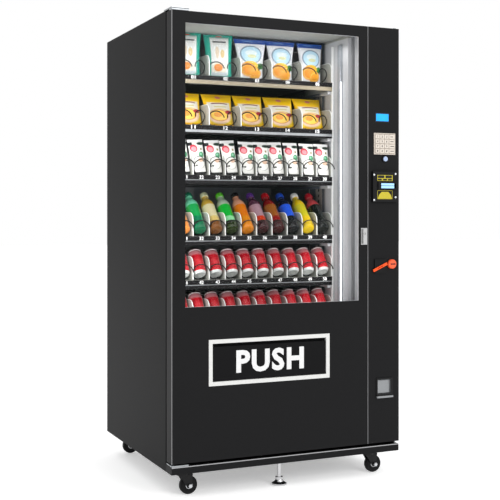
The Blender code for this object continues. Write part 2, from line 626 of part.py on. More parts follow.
# ---- casters and foot ------------------------------------------------------------------------------
def make_caster(name, pin_x, pin_y):
    """A swivel fork on its king pin, and a wheel on the axle that joins the fork's legs."""
    axle_z = WHEEL_RADIUS * math.cos(math.pi / WHEEL_SIDES)
    wheel_x = pin_x + TRAIL
    half = WHEEL_WIDTH / 2
    swivel = pivot(f"{name}_swivel_pivot", (pin_x, pin_y, BASE_BOTTOM))
    crown_top = BASE_BOTTOM - 0.003 - GAP
    fork = rod((pin_x, pin_y, 0.0795), (pin_x, pin_y, crown_top), 0.026, 20)
    join(fork, rod((pin_x, pin_y, crown_top - 0.004), (pin_x, pin_y, BASE_BOTTOM + 0.014), 0.0060),
         block((pin_x - 0.020, pin_y - half - 0.006, 0.0775), (wheel_x + 0.014, pin_y + half + 0.006, 0.0830)))
    for side in (-1, 1):
        inner = pin_y + side * (half + 0.0025)
        outer = pin_y + side * (half + 0.0060)
        low_y, high_y = min(inner, outer), max(inner, outer)
        leg = outline([(-0.041, 0.0440), (-0.008, -0.010), (0.010, -0.010), (0.0135, 0.0440)],
                      (wheel_x, (low_y + high_y) / 2, axle_z), high_y - low_y, "XZ")
        join(fork, leg)
    join(fork, rod((wheel_x, pin_y - half - 0.0085, axle_z), (wheel_x, pin_y + half + 0.0085, axle_z), 0.0050, 12))
    hang(keep(fork, f"{name}_fork", DARK_PLASTIC), swivel)

    spin = pivot(f"{name}_wheel_pivot", (wheel_x, pin_y, axle_z), swivel)
    wheel = rod((wheel_x, pin_y - half, axle_z), (wheel_x, pin_y + half, axle_z), WHEEL_RADIUS, WHEEL_SIDES,
                math.pi / WHEEL_SIDES)
    cut(wheel, rod((wheel_x, pin_y - half - 0.01, axle_z), (wheel_x, pin_y + half + 0.01, axle_z), 0.0056, 12))
    hang(keep(wheel, f"{name}_wheel", RUBBER), spin)


def make_foot():
    """A screwed levelling foot: a round pad, a cone and a threaded stem."""
    foot = turned([(0.0, 0.1030), (0.0090, 0.1030), (0.0090, 0.0330), (0.0160, 0.0330), (0.0160, 0.0220),
                   (0.0200, 0.0150), (0.0320, 0.0070), (0.0325, 0.0), (0.0, 0.0)],
                  (FOOT_X, FOOT_Y, 0.0), closed=False)
    hang(keep(foot, "levelling_foot", CHROME), pivot("foot_pivot", (FOOT_X, FOOT_Y, 0.0)))


# ---- build -----------------------------------------------------------------------------------------
make_cabinet()
make_bin()
make_refrigeration()
make_trays()
make_spirals()
make_hinges()
make_main_door()
control_swing = make_control_door()
make_panel_fittings(control_swing)
make_payment(control_swing)
make_column_units()
for caster, (king_x, king_y) in caster_pins().items():
    make_caster(f"{caster}_caster", king_x, king_y)
make_foot()
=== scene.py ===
"""Snack vending machine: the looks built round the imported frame."""
import math

import bmesh
import bpy
import numpy as np
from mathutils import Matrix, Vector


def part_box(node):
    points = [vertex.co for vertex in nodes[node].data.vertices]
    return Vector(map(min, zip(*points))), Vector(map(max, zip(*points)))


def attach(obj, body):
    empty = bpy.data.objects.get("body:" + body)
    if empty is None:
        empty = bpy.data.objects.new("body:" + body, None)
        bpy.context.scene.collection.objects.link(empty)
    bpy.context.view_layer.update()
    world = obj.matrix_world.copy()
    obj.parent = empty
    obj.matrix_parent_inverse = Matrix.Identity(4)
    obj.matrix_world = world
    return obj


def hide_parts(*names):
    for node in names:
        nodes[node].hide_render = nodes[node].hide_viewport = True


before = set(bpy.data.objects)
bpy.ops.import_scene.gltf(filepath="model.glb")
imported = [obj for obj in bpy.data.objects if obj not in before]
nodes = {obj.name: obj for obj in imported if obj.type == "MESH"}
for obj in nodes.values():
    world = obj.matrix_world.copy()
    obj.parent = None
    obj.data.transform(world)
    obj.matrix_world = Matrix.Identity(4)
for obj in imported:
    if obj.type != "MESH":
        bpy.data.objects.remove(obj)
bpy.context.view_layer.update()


# ---- Cabinet panels ----------------------------------------------------------------------------
# The cabinet is folded sheet steel with a black fine-texture powder coat outside, drawn as a darker copy of
# the doors' coat for painted shade. Inside the cooled chamber the front zone is a pale grey liner; the rear
# zone, behind the uprights, is painted dark and the ceiling darker grey, both painted shade.

def linear(code):
    """sRGB hex to linear colour: a channel c is ((c + 0.055) / 1.055) ** 2.4, or c / 12.92 where small."""
    c = np.array([int(code[i:i + 2], 16) for i in (1, 3, 5)]) / 255
    return (*np.where(c <= 0.04045, c / 12.92, ((c + 0.055) / 1.055) ** 2.4).tolist(), 1.0)


def add(tree, kind, inputs=None, **settings):
    """Adds one node, makes its settings, and sets each input or links it to another node's output."""
    node = tree.nodes.new(kind)
    for name, value in settings.items():
        setattr(node, name, value)
    for name, value in (inputs or {}).items():
        if isinstance(value, bpy.types.NodeSocket):
            tree.links.new(value, node.inputs[name])
        else:
            node.inputs[name].default_value = value
    return node


def blend_colours(tree, share, below, above):
    """One colour laid over another by a share from 0 to 1; each is a hex code or a socket."""
    mix = add(tree, "ShaderNodeMix", data_type="RGBA")
    for index, value in ((0, share), (6, below), (7, above)):
        if isinstance(value, str):
            mix.inputs[index].default_value = linear(value)
        else:
            tree.links.new(value, mix.inputs[index])
    return mix.outputs[2]


def mottled(name, dark, light, size, bump=0.0, **shader_inputs):
    """A material whose colour wanders between two shades in patches of the given size in metres, with bumps
    of that grain; returns it with its tree, its shader, its place vector and its colour."""
    material = bpy.data.materials.new(name)
    material.use_nodes = True
    tree = material.node_tree
    shader = tree.nodes["Principled BSDF"]
    for key, value in shader_inputs.items():
        shader.inputs[key.replace("_", " ").title().replace("Ior", "IOR")].default_value = value
    place = add(tree, "ShaderNodeTexCoord").outputs["Object"]
    noise = add(tree, "ShaderNodeTexNoise", {"Vector": place, "Scale": 1 / size, "Detail": 3.0})
    colour = blend_colours(tree, noise.outputs["Fac"], dark, light)
    tree.links.new(colour, shader.inputs["Base Color"])
    if bump:
        raised = add(tree, "ShaderNodeBump", {"Height": noise.outputs["Fac"], "Distance": bump})
        tree.links.new(raised.outputs["Normal"], shader.inputs["Normal"])
    return material, tree, shader, place, colour


def coat(material, *names):
    """Gives CAD nodes a material."""
    for name in names:
        for holder in nodes[name].material_slots:
            holder.material = material


def within(tree, place, limits):
    """1 inside a box and 0 outside: the product of one comparison for each limit (axis, is over, value)."""
    parts = add(tree, "ShaderNodeSeparateXYZ", {0: place})
    share = None
    for axis, over, value in limits:
        test = add(tree, "ShaderNodeMath", {0: parts.outputs[axis], 1: value},
                   operation="GREATER_THAN" if over else "LESS_THAN").outputs[0]
        if share is None:
            share = test
        else:
            share = add(tree, "ShaderNodeMath", {0: share, 1: test}, operation="MULTIPLY").outputs[0]
    return share


# Fine-texture polyester powder coat on sheet steel: near-black satin, its 0.5 mm orange peel drawn at 3 mm.
powder_coat, *_ = mottled("powder_coat_black", "#151516", "#1c1c1d", 0.003, 0.00012, roughness=0.45,
                          specular_ior_level=0.06)

chamber_low, chamber_high = (-0.4835, -0.3710, 0.400), (0.3390, 0.4105, 1.8945)
# The rear liner is painted dark and the ceiling darker grey: painted shade, as the lamp lights only the
# front.
LINER_CHANGE = (-0.170, -0.150)     # where the pale front liner gives way to the dark rear one
# Outside: a darker copy of the black powder coat, painted shade on the cabinet's panels.
cabinet_coat, tree, shader, place, outside = mottled(
    "powder_coat_and_liner_painted_shade", "#09090a", "#0e0e0f", 0.003, 0.00012, roughness=0.45, specular_ior_level=0.035)
inside = within(tree, place, [(axis, True, chamber_low[axis]) for axis in range(3)] +
                [(axis, False, chamber_high[axis]) for axis in range(3)])
depth = add(tree, "ShaderNodeSeparateXYZ", {0: place}).outputs["Y"]
rearward = add(tree, "ShaderNodeMapRange",
               {"Value": depth, "From Min": LINER_CHANGE[0], "From Max": LINER_CHANGE[1]})
ceiling = within(tree, place, [(2, True, 1.885)])
liner = blend_colours(tree, rearward.outputs[0], blend_colours(tree, ceiling, "#c4c5c8", "#9c9d98"),
                      "#5c626b")
tree.links.new(blend_colours(tree, inside, outside, liner), shader.inputs["Base Color"])
coat(cabinet_coat, "left_side_panel", "right_side_panel", "top_panel", "back_panel", "column_partition",
     "chamber_floor")
coat(powder_coat, "base_frame")


# ---- Chamber fittings --------------------------------------------------------------------------
# Sheet steel parts screwed to the chamber walls: the air duct in front of the back panel, the slotted
# uprights that carry the trays, and the white end post beside the tray fronts.

def grid(points, uv=None, paint=None):
    """A surface from an n by m array of points: a quad between each four neighbours."""
    n, m = points.shape[:2]
    index = np.arange(n * m).reshape(n, m)
    quads = np.stack([index[:-1, :-1], index[:-1, 1:], index[1:, 1:], index[1:, :-1]], axis=-1).reshape(-1, 4)
    if uv is None:
        uv = np.stack(np.meshgrid(np.linspace(0, 1, m), np.linspace(0, 1, n)), axis=-1)
    if paint is not None:
        paint = np.broadcast_to(paint, (n, m, 4)).reshape(-1, 4)
    return points.reshape(-1, 3), quads.tolist(), uv.reshape(-1, 2), paint


def piece(name, body, material, parts, sharp=35.0):
    """One object from several surfaces: their points and faces in one mesh, seams and poles welded, faces
    turned outwards, smooth but for edges sharper than the given angle; it rides on a body."""
    starts = np.cumsum([0] + [len(part[0]) for part in parts])
    faces = [[corner + int(start) for corner in face] for part, start in zip(parts, starts)
             for face in part[1]]
    mesh = bpy.data.meshes.new(name)
    mesh.from_pydata(np.concatenate([part[0] for part in parts]), [], faces)
    corners = np.empty(len(mesh.loops), dtype=np.int32)
    mesh.loops.foreach_get("vertex_index", corners)
    if parts[0][2] is not None:
        uv = np.concatenate([part[2] for part in parts])
        mesh.uv_layers.new(name="UVMap").data.foreach_set("uv", uv[corners].astype(np.float32).ravel())
    if parts[0][3] is not None:
        paint = np.concatenate([part[3] for part in parts]).astype(np.float32)
        layer = mesh.color_attributes.new("paint", "FLOAT_COLOR", "CORNER")
        layer.data.foreach_set("color", paint[corners].ravel())
    welded = bmesh.new()
    welded.from_mesh(mesh)
    bmesh.ops.remove_doubles(welded, verts=welded.verts, dist=1e-6)
    bmesh.ops.recalc_face_normals(welded, faces=welded.faces)
    welded.to_mesh(mesh)
    welded.free()
    mesh.shade_smooth()
    mesh.set_sharp_from_angle(angle=math.radians(sharp))
    mesh.materials.append(material)
    obj = bpy.data.objects.new(name, mesh)
    bpy.context.scene.collection.objects.link(obj)
    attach(obj, body)
    return obj


def rounded(half, radius, steps=5):
    """A rectangle with round corners as a closed loop: each corner's arc, set in by its radius."""
    radius = min(radius, *half)
    angle = np.linspace(0, math.pi / 2, steps)[None] + np.arange(4)[:, None] * math.pi / 2
    signs = np.array([(1, 1), (-1, 1), (-1, -1), (1, -1)])[:, None]
    arc = np.stack([np.cos(angle), np.sin(angle)], axis=-1) * radius + signs * (np.array(half) - radius)
    loop = arc.reshape(-1, 2)
    return np.concatenate([loop, loop[:1]])


def slab(low, high, face=1, corner=0.001, bevel=0.0004):
    """A flat slab between two corners of its box: a rounded outline across the face axis, carried through
    the thickness, shrunk by the bevel at each end and to nothing at the middle of each face."""
    low, high = np.array(low, float), np.array(high, float)
    across = [axis for axis in range(3) if axis != face]
    half = (high - low)[across] / 2
    bevel = min(bevel, (high - low)[face] / 3)
    loop = rounded(half, corner)
    open_rings, set_in = np.array([0, 1, 1, 1, 1, 0])[:, None], np.array([1, 1, 0, 0, 1, 1])[:, None]
    shrink = open_rings * (1 - set_in * bevel / half)
    depths = np.array([low[face], low[face], low[face] + bevel, high[face] - bevel, high[face], high[face]])
    points = np.empty((6, len(loop), 3))
    points[..., across] = loop[None] * shrink[:, None] + ((low + high) / 2)[across]
    points[..., face] = depths[:, None]
    return grid(points)


# Pre-galvanised steel behind the trays, painted dark: matt blue-grey.
duct_paint, *_ = mottled("duct_paint", "#7d838d", "#949aa3", 0.02, roughness=0.5)
piece("air_duct", "cabinet", duct_paint,
      [slab((-0.470, 0.385, 0.440), (0.300, 0.398, 1.885), corner=0.004, bevel=0.002)])
# Zinc-plated steel with a pale chromate film: light grey with a soft sheen.
pale_zinc, *_ = mottled("pale_zinc", "#8f9296", "#b0b3b5", 0.012, roughness=0.4, metallic=0.6)
piece("duct_band", "cabinet", pale_zinc,
      [slab((-0.165, 0.378, 0.445), (-0.115, 0.3848, 1.880), corner=0.002, bevel=0.001)])
piece("wall_strips", "cabinet", pale_zinc,
      [slab((0.0950, 0.3820, 0.445), (0.1030, 0.3848, 1.880)),
       slab((0.3082, -0.0140, 0.445), (0.3098, -0.0060, 1.880), face=0)])

# White gloss powder coat: the end post and the edges of the dividers, bright under the lamp.
white_coat, *_ = mottled("powder_coat_white", "#e9ebea", "#f6f7f5", 0.01, roughness=0.35)
piece("end_post", "cabinet", white_coat,
      [slab((0.3012, -0.2440, 0.5900), (0.3088, -0.2340, 1.8650), corner=0.001)])

# Slotted upright, beige-grey painted steel: the 12 mm slots every 25 mm are painted near-black,
# as painted shade in the openings.
SLOT_PITCH = 0.025
upright_paint, tree, shader, place, colour = mottled(
    "upright_paint", "#86817c", "#9a948e", 0.02, roughness=0.5)
parts = add(tree, "ShaderNodeSeparateXYZ", {0: place})
step = add(tree, "ShaderNodeMath", {0: parts.outputs["Z"], 1: SLOT_PITCH}, operation="MODULO").outputs[0]
tall = add(tree, "ShaderNodeMath", {0: step, 1: SLOT_PITCH / 2}, operation="LESS_THAN").outputs[0]
off_middle = add(tree, "ShaderNodeMath", {0: parts.outputs["Y"], 1: -0.1035, 2: 0.006},
                 operation="COMPARE").outputs[0]
slot_shade = add(tree, "ShaderNodeMath", {0: tall, 1: off_middle}, operation="MULTIPLY").outputs[0]
tree.links.new(blend_colours(tree, slot_shade, colour, "#17181a"), shader.inputs["Base Color"])
piece("right_upright", "cabinet", upright_paint,
      [slab((0.3078, -0.1330, 0.4500), (0.3098, -0.0740, 1.8850), face=0)])
piece("left_upright", "cabinet", upright_paint,
      [slab((-0.4823, -0.1330, 0.4500), (-0.4803, -0.0740, 1.8850), face=0)])

# Grey anodised lamp housing with a narrow opal strip, which glows evenly.
lamp_glow, tree, shader, place, colour = mottled(
    "lamp_grey_and_opal", "#8d9196", "#9a9ea3", 0.05, roughness=0.4, emission_strength=2.0)
opal = within(tree, place, [(0, True, 0.2990), (0, False, 0.3050), (1, False, -0.3205), (2, False, 1.7000)])
lit = blend_colours(tree, opal, colour, "#f6f9ff")
tree.links.new(lit, shader.inputs["Base Color"])
tree.links.new(blend_colours(tree, opal, "#000000", lit), shader.inputs["Emission Color"])
coat(lamp_glow, "led_lamp")


# ---- Trays -------------------------------------------------------------------------------------
# Each tray is a white-coated steel pan with dividers hooked in. A light plastic edging runs up the front
# of each divider and back along its top; a black strip with the lane numbers clips to the front lip.

def sweep(path, across, outward, section, capped=True):
    """A closed section carried along a path: point (i, j) is path point i plus section point j measured along
    the across and outward directions there. Capped ends shrink to the path."""
    path, across, outward = (np.broadcast_to(np.asarray(a, float), path.shape)
                             for a in (path, across, outward))
    size = np.ones(len(path))
    if capped:
        path, across, outward = (np.concatenate([a[:1], a, a[-1:]]) for a in (path, across, outward))
        size = np.concatenate([[0], size, [0]])
    offset = across[:, None] * section[None, :, :1] + outward[:, None] * section[None, :, 1:]
    points = path[:, None] + size[:, None, None] * offset
    return grid(points)


def lettering(text, centre, height, y, width=None, bold=0.02, thick=0.0004, spacing=1.0):
    """Raised characters facing the front: the font's outline, filled, thickened, laid flat against y, and
    stretched to a height and, if one is given, a width."""
    curve = bpy.data.curves.new(text, "FONT")
    curve.body, curve.offset, curve.extrude, curve.resolution_u = text, bold, 0.5, 3
    curve.space_character = spacing
    holder = bpy.data.objects.new(text, curve)
    bpy.context.scene.collection.objects.link(holder)
    bpy.context.view_layer.update()
    flat = bpy.data.meshes.new_from_object(holder.evaluated_get(bpy.context.evaluated_depsgraph_get()))
    spots = np.empty(len(flat.vertices) * 3)
    flat.vertices.foreach_get("co", spots)
    spots = spots.reshape(-1, 3)
    faces = [list(face.vertices) for face in flat.polygons]
    bpy.data.objects.remove(holder)
    bpy.data.meshes.remove(flat)
    low, high = spots.min(axis=0), spots.max(axis=0)
    tall = height / (high[1] - low[1])
    wide = tall if width is None else width / (high[0] - low[0])
    middle = (low + high) / 2
    placed = np.stack([centre[0] + (spots[:, 0] - middle[0]) * wide,
                       y - (spots[:, 2] - low[2]) / (high[2] - low[2]) * thick,
                       centre[1] + (spots[:, 1] - middle[1]) * tall], axis=-1)
    return placed, faces, np.zeros((len(placed), 2)), None


# Lanes, height of the dividers and first lane number of each tray, from the top.
TRAY_ROWS = {1: (5, 0.090, 1), 2: (5, 0.090, 11), 3: (10, 0.090, 21), 4: (10, 0.098, 31), 5: (10, 0.098, 41),
             6: (10, 0.098, 51)}
# From the label's middle down to the lip's lower edge and up to the floor.
LIP_BELOW, FLOOR_ABOVE = 0.028, 0.009
SHEET = 0.002

# Powder-coated tray steel: pale cool grey and satin; towards the rear and on faces turned down it is
# painted dark, as painted shade.
tray_coat, tree, shader, place, colour = mottled("tray_coat", "#a5a69f", "#b9bab3", 0.015, roughness=0.35)
depth = add(tree, "ShaderNodeSeparateXYZ", {0: place}).outputs["Y"]
rearward = add(tree, "ShaderNodeMapRange", {"Value": depth, "From Min": -0.10, "From Max": 0.02}).outputs[0]
normal = add(tree, "ShaderNodeNewGeometry").outputs["Normal"]
facing = add(tree, "ShaderNodeSeparateXYZ", {0: normal}).outputs["Z"]
under = add(tree, "ShaderNodeMath", {0: facing, 1: -0.5}, operation="LESS_THAN").outputs[0]
# Painted shade: dark towards the rear and underneath.
tray_shade = add(tree, "ShaderNodeMath", {0: rearward, 1: under}, operation="MAXIMUM").outputs[0]
tree.links.new(blend_colours(tree, tray_shade, colour, "#202227"), shader.inputs["Base Color"])
coat(tray_coat, *(f"tray_{row}" for row in TRAY_ROWS))
# Extruded black PVC strip, satin, with printed white numerals; their ink is given a faint glow, painted
# light.
strip_vinyl, *_ = mottled("strip_black_pvc", "#0d0c0e", "#151416", 0.01, roughness=0.5,
                          specular_ior_level=0.2)
numeral_ink_glow, *_ = mottled("numeral_white_ink_painted_glow", "#f2f2f2", "#ffffff", 0.01, roughness=0.5,
                          emission_strength=0.15)
# Beige PVC price rail under the top row; bare zinc edge under the others.
beige_rail, *_ = mottled("rail_beige_pvc", "#867c68", "#968c77", 0.02, roughness=0.45)

trays = {}
for row, (lanes, tall, first) in TRAY_ROWS.items():
    low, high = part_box(f"tray_{row}")
    label = low[2] + LIP_BELOW
    floor = label + FLOOR_ABOVE
    front = low[1] + 0.002
    pitch = (high[0] - low[0]) / lanes
    centres = low[0] + pitch * (np.arange(lanes) + 0.5)
    trays[row] = (floor, front, pitch, centres, tall)
    corner = 0.36 * tall
    bend = np.linspace(math.pi, math.pi / 2, 9)
    path_y = np.concatenate([[front - 0.0012], front + corner + (corner + 0.0006) * np.cos(bend), [0.295]])
    path_z = np.concatenate([[floor + 0.001], floor + tall - corner + (corner + 0.0006) * np.sin(bend),
                             [floor + tall + 0.0006]])
    slope = np.gradient(np.stack([path_y, path_z], axis=-1), axis=0)
    slope /= np.linalg.norm(slope, axis=1, keepdims=True)
    outward = np.stack([np.zeros(len(slope)), -slope[:, 1], slope[:, 0]], axis=-1)
    edge = rounded((0.0017, 0.0012), 0.0006, 2)
    walls = low[0] + SHEET / 2 + (high[0] - low[0] - SHEET) / lanes * np.arange(lanes + 1)
    piece(f"divider_edges_{row}", "cabinet", white_coat,
          [sweep(np.stack([np.full(len(path_y), x), path_y, path_z], axis=-1), (1, 0, 0), outward, edge)
           for x in walls])
    lip = low[1]
    piece(f"label_strip_{row}", "cabinet", strip_vinyl,
          [slab((low[0] - 0.002, lip - 0.0030, label - 0.0095),
                (high[0] + 0.0012, lip - 0.0004, label + 0.0095), bevel=0.001)])
    piece(f"lane_numbers_{row}", "cabinet", numeral_ink_glow,
          [lettering(f"{first + lane:02d}", (x, label), 0.0145, lip - 0.0030, 0.0190, bold=0.012)
           for lane, x in enumerate(centres)], 60)
    rail, rail_tall = {1: (beige_rail, 0.0165), 2: (pale_zinc, 0.0110)}.get(row, (pale_zinc, 0.0030))
    rail_bottom = label - 0.0100 - rail_tall
    piece(f"price_rail_{row}", "cabinet", rail,
          [slab((low[0] - 0.001, lip - 0.0026, rail_bottom), (high[0] + 0.0015, lip - 0.0002, label - 0.0100),
                bevel=0.0006)])
    # A black strip over the lower part of the lip stands in for its shade: painted shade.
    piece(f"lip_shade_strip_{row}", "cabinet", strip_vinyl,
          [slab((low[0] - 0.001, lip - 0.0012, label - 0.0285),
                (high[0] + 0.0015, lip - 0.0002, rail_bottom + 0.0002), bevel=0.0003)])


# ---- Spirals -----------------------------------------------------------------------------------
# Hard-drawn steel wire wound into a helix and coated black; each is pushed onto its motor at the rear. A wide
# lane has a left-hand and a right-hand one that turn against each other; a narrow lane has one.

def coil(x, z, front, radius, pitch, wire, hand, steps=22, sides=6):
    """A helix along Y with a round section. The wire's middle starts at the side, at the right for hand 1 and
    at the left for hand -1, goes over the top first, and moves back by the pitch in each turn until it meets
    the motor; the section lies along the radius and square to the wire."""
    turns = (COIL_REAR - front) / pitch
    turn = np.linspace(0, turns, int(turns * steps) + 1)
    angle = 2 * math.pi * turn
    radial = np.stack([hand * np.cos(angle), np.zeros_like(angle), np.sin(angle)], axis=-1)
    path = np.array([x, front, z]) + radial * radius + np.stack([0 * turn, pitch * turn, 0 * turn], axis=-1)
    round_step = radius * 2 * math.pi
    along = np.stack([-hand * np.sin(angle) * round_step, np.full_like(angle, pitch),
                      np.cos(angle) * round_step], axis=-1)
    along /= np.linalg.norm(along, axis=1, keepdims=True)
    section_angle = np.linspace(0, 2 * math.pi, sides + 1)
    section = np.stack([np.cos(section_angle), np.sin(section_angle)], axis=-1) * wire
    return sweep(path, radial, np.cross(along, radial), section)


# Black epoxy-coated spring wire, smooth and half glossy.
wire_coat, *_ = mottled("wire_black_epoxy", "#060607", "#0d0d0f", 0.01, roughness=0.4)
# The lift is from the tray floor to the axis.
WIRE, COIL_RADIUS, COIL_LIFT, COIL_REAR = 0.0025, 0.029, 0.034, 0.298
NARROW_RADIUS = 0.0325
PAIR_OFFSET = 0.0365             # from a wide lane's middle to each of its coils
WIDE_PITCH, NARROW_PITCH = 0.084, 0.070
for row, (floor, front, pitch, centres, tall) in trays.items():
    if row == 1:
        starts = [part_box(f"spiral_{number:02d}") for number in range(1, 11)]
        for number, (low, high) in enumerate(starts, 1):
            middle, hand = (low[0] + high[0]) / 2, 1 if number % 2 else -1
            shape = coil(middle, floor + COIL_LIFT, low[1] + 0.002, COIL_RADIUS, WIDE_PITCH, WIRE, hand, 28)
            obj = piece(f"spiral_wire_{number:02d}", f"spiral_{number:02d}", wire_coat, [shape], 80)
            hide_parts(f"spiral_{number:02d}")
        continue
    if row == 2:
        shapes = [coil(x + side * PAIR_OFFSET, floor + COIL_LIFT, front - 0.008, COIL_RADIUS, WIDE_PITCH,
                       WIRE, -side, 18, 5)
                  for x in centres for side in (-1, 1)]
    else:
        shapes = [coil(x, floor + COIL_LIFT, front - (0.034 if row == 3 else 0.022), NARROW_RADIUS,
                       NARROW_PITCH, WIRE, 1, 18, 5) for x in centres]
    obj = piece(f"spirals_{row}", "cabinet", wire_coat, shapes, 80)


# ---- Bags in the two upper rows ----------------------------------------------------------------
# Pillow bags of printed, metallised polypropylene film, crimped flat along the top and the bottom. One
# stands in each lane, between the turns of the spiral.

def bag(x, y, z, width, height, depth, flare=1.0, turn=0.0, tilt=0.0, lean=0.0, crease=0.0012):
    """A pillow: at height v and angle a round it, x is the half width times cos a and y the half depth times
    sin a. The depth swells from each flat seal towards the middle, the width grows by the flare towards the
    top, and creases fade away from the seals. Turn is about the upright, tilt leans it sideways and lean is
    the run backwards for each unit of height."""
    v = np.linspace(0, 1, 30)[:, None]
    a = np.linspace(0, 2 * math.pi, 45)[None]
    half = width / 2 * (1 + (flare - 1) * v ** 1.5) * (1 - 0.05 * np.sin(math.pi * v))
    swell = np.clip((v - 0.05) * (0.95 - v) * 4.94, 0, None) ** 0.55
    thick = 0.0008 + depth / 2 * swell
    thick[0], thick[-1] = 0, 0
    near_seal = np.exp(-((1 - np.abs(2 * v - 1)) / 0.30) ** 2)
    ripple = np.sin(17 * np.cos(a) + 2.0 * np.sin(5 * x / 0.1)) + 0.6 * np.sin(29 * np.cos(a) + 9 * v)
    folds = crease * near_seal * ripple
    side = np.sign(np.cos(a)) * np.abs(np.cos(a)) ** 0.85
    local_x = half * side
    local_y = thick * np.sin(a) + folds * (1 - side ** 2) * (swell > 0) + 0 * v
    local_z = height * v + 0 * a
    local_x = local_x - math.tan(tilt) * local_z
    local_z = local_z + math.tan(tilt) * (local_x - local_x.min())
    local_y = local_y + lean * local_z
    points = np.stack([x + local_x * math.cos(turn) - local_y * math.sin(turn),
                       y + local_x * math.sin(turn) + local_y * math.cos(turn), z + local_z], axis=-1)
    return grid(points, np.stack([side / 2 + 0.5 + 0 * v, v + 0 * a], axis=-1))


def shape_mask(tree, uv, centre, half, box=False, soft=0.06):
    """1 inside an ellipse or a box drawn on the UV map and 0 outside: the distance from the centre, in
    half sizes, turned into a soft step at 1. For a box the distance is the larger coordinate."""
    offset = add(tree, "ShaderNodeVectorMath", {0: uv, 1: (*centre, 0)}, operation="SUBTRACT").outputs[0]
    scaled = add(tree, "ShaderNodeVectorMath", {0: offset, 1: (*half, 1)}, operation="DIVIDE").outputs[0]
    if box:
        size = add(tree, "ShaderNodeVectorMath", {0: scaled}, operation="ABSOLUTE").outputs[0]
        parts = add(tree, "ShaderNodeSeparateXYZ", {0: size})
        away = add(tree, "ShaderNodeMath", {0: parts.outputs[0], 1: parts.outputs[1]},
                   operation="MAXIMUM").outputs[0]
    else:
        away = add(tree, "ShaderNodeVectorMath", {0: scaled}, operation="LENGTH").outputs[1]
    return add(tree, "ShaderNodeMapRange",
               {"Value": away, "From Min": 1 + soft, "From Max": 1 - soft}).outputs[0]


def printed_film(name, ground, layers, roughness=0.3):
    """Printed film: a ground colour between two shades with shapes laid over it in turn, each (code, centre,
    half size, is a box), and fine crimp-like ridges raised all over the bag by a wave along it."""
    material, tree, shader, _, colour = mottled(
    name, *ground, 0.02, roughness=roughness, coat_weight=0.3, coat_roughness=0.15)
    uv = add(tree, "ShaderNodeUVMap", uv_map="UVMap").outputs[0]
    for code, centre, half, box in layers:
        colour = blend_colours(tree, shape_mask(tree, uv, centre, half, box), colour, code)
    tree.links.new(colour, shader.inputs["Base Color"])
    wave = add(tree, "ShaderNodeTexWave", {"Vector": uv, "Scale": 28.0}, bands_direction="Y")
    crimp = add(tree, "ShaderNodeBump", {"Height": wave.outputs["Fac"], "Distance": 0.0003, "Strength": 0.5})
    tree.links.new(crimp.outputs["Normal"], shader.inputs["Normal"])
    return material


# Teal film with a white panel and a round picture of food; white film with a blue oval and orange slices.
teal_film = printed_film("film_teal", ("#12a08c", "#26bba4"), [
    ("#f2f4f2", (0.52, 0.50), (0.33, 0.43), True), ("#343a3c", (0.52, 0.83), (0.24, 0.018), True),
    ("#e0e2dc", (0.52, 0.78), (0.24, 0.008), True), ("#e9d8c0", (0.42, 0.58), (0.07, 0.14), False),
    ("#e8cf9a", (0.62, 0.55), (0.08, 0.10), False), ("#f0ead8", (0.50, 0.22), (0.30, 0.135), False),
    ("#f0913a", (0.46, 0.23), (0.17, 0.085), False), ("#d9e4ea", (0.50, 0.085), (0.30, 0.035), True),
    ("#d65a52", (0.52, 0.965), (0.12, 0.016), False)])
white_film = printed_film("film_white", ("#e4e9f0", "#fafbfd"), [
    ("#1f56b4", (0.50, 0.95), (0.60, 0.065), True), ("#5d8fd6", (0.42, 0.955), (0.20, 0.020), False),
    ("#1d4674", (0.48, 0.61), (0.395, 0.225), False), ("#bfe2f4", (0.48, 0.61), (0.365, 0.205), False),
    ("#e2f1f4", (0.48, 0.65), (0.22, 0.075), False), ("#d8dcae", (0.50, 0.57), (0.17, 0.045), False),
    ("#2f7a35", (0.84, 0.33), (0.16, 0.075), False), ("#e9c436", (0.44, 0.34), (0.30, 0.115), False),
    ("#f4a01e", (0.36, 0.25), (0.32, 0.175), False), ("#ffd070", (0.36, 0.24), (0.27, 0.145), False),
    ("#f59a1c", (0.36, 0.24), (0.24, 0.125), False), ("#f3a322", (0.64, 0.15), (0.26, 0.140), False),
    ("#ffc85c", (0.64, 0.15), (0.21, 0.110), False), ("#f7a526", (0.64, 0.15), (0.18, 0.092), False)])
gold_film = printed_film("film_gold", ("#ffc200", "#ffdc2c"), [
    ("#f1ebdd", (0.48, 0.50), (0.40, 0.24), True), ("#d8d49a", (0.50, 0.61), (0.22, 0.020), True),
    ("#7c2336", (0.50, 0.70), (0.30, 0.030), False), ("#f1ebdd", (0.50, 0.675), (0.28, 0.026), False),
    ("#e9838c", (0.50, 0.90), (0.09, 0.040), False), ("#f0d040", (0.50, 0.30), (0.47, 0.255), False),
    ("#f3cfae", (0.47, 0.31), (0.43, 0.230), False), ("#c97c3c", (0.44, 0.34), (0.345, 0.180), False),
    ("#f9cd52", (0.44, 0.34), (0.315, 0.160), False), ("#e6972e", (0.38, 0.36), (0.15, 0.080), False),
    ("#a8323c", (0.80, 0.44), (0.14, 0.060), False), ("#f0b400", (0.50, 0.03), (0.60, 0.040), True)])

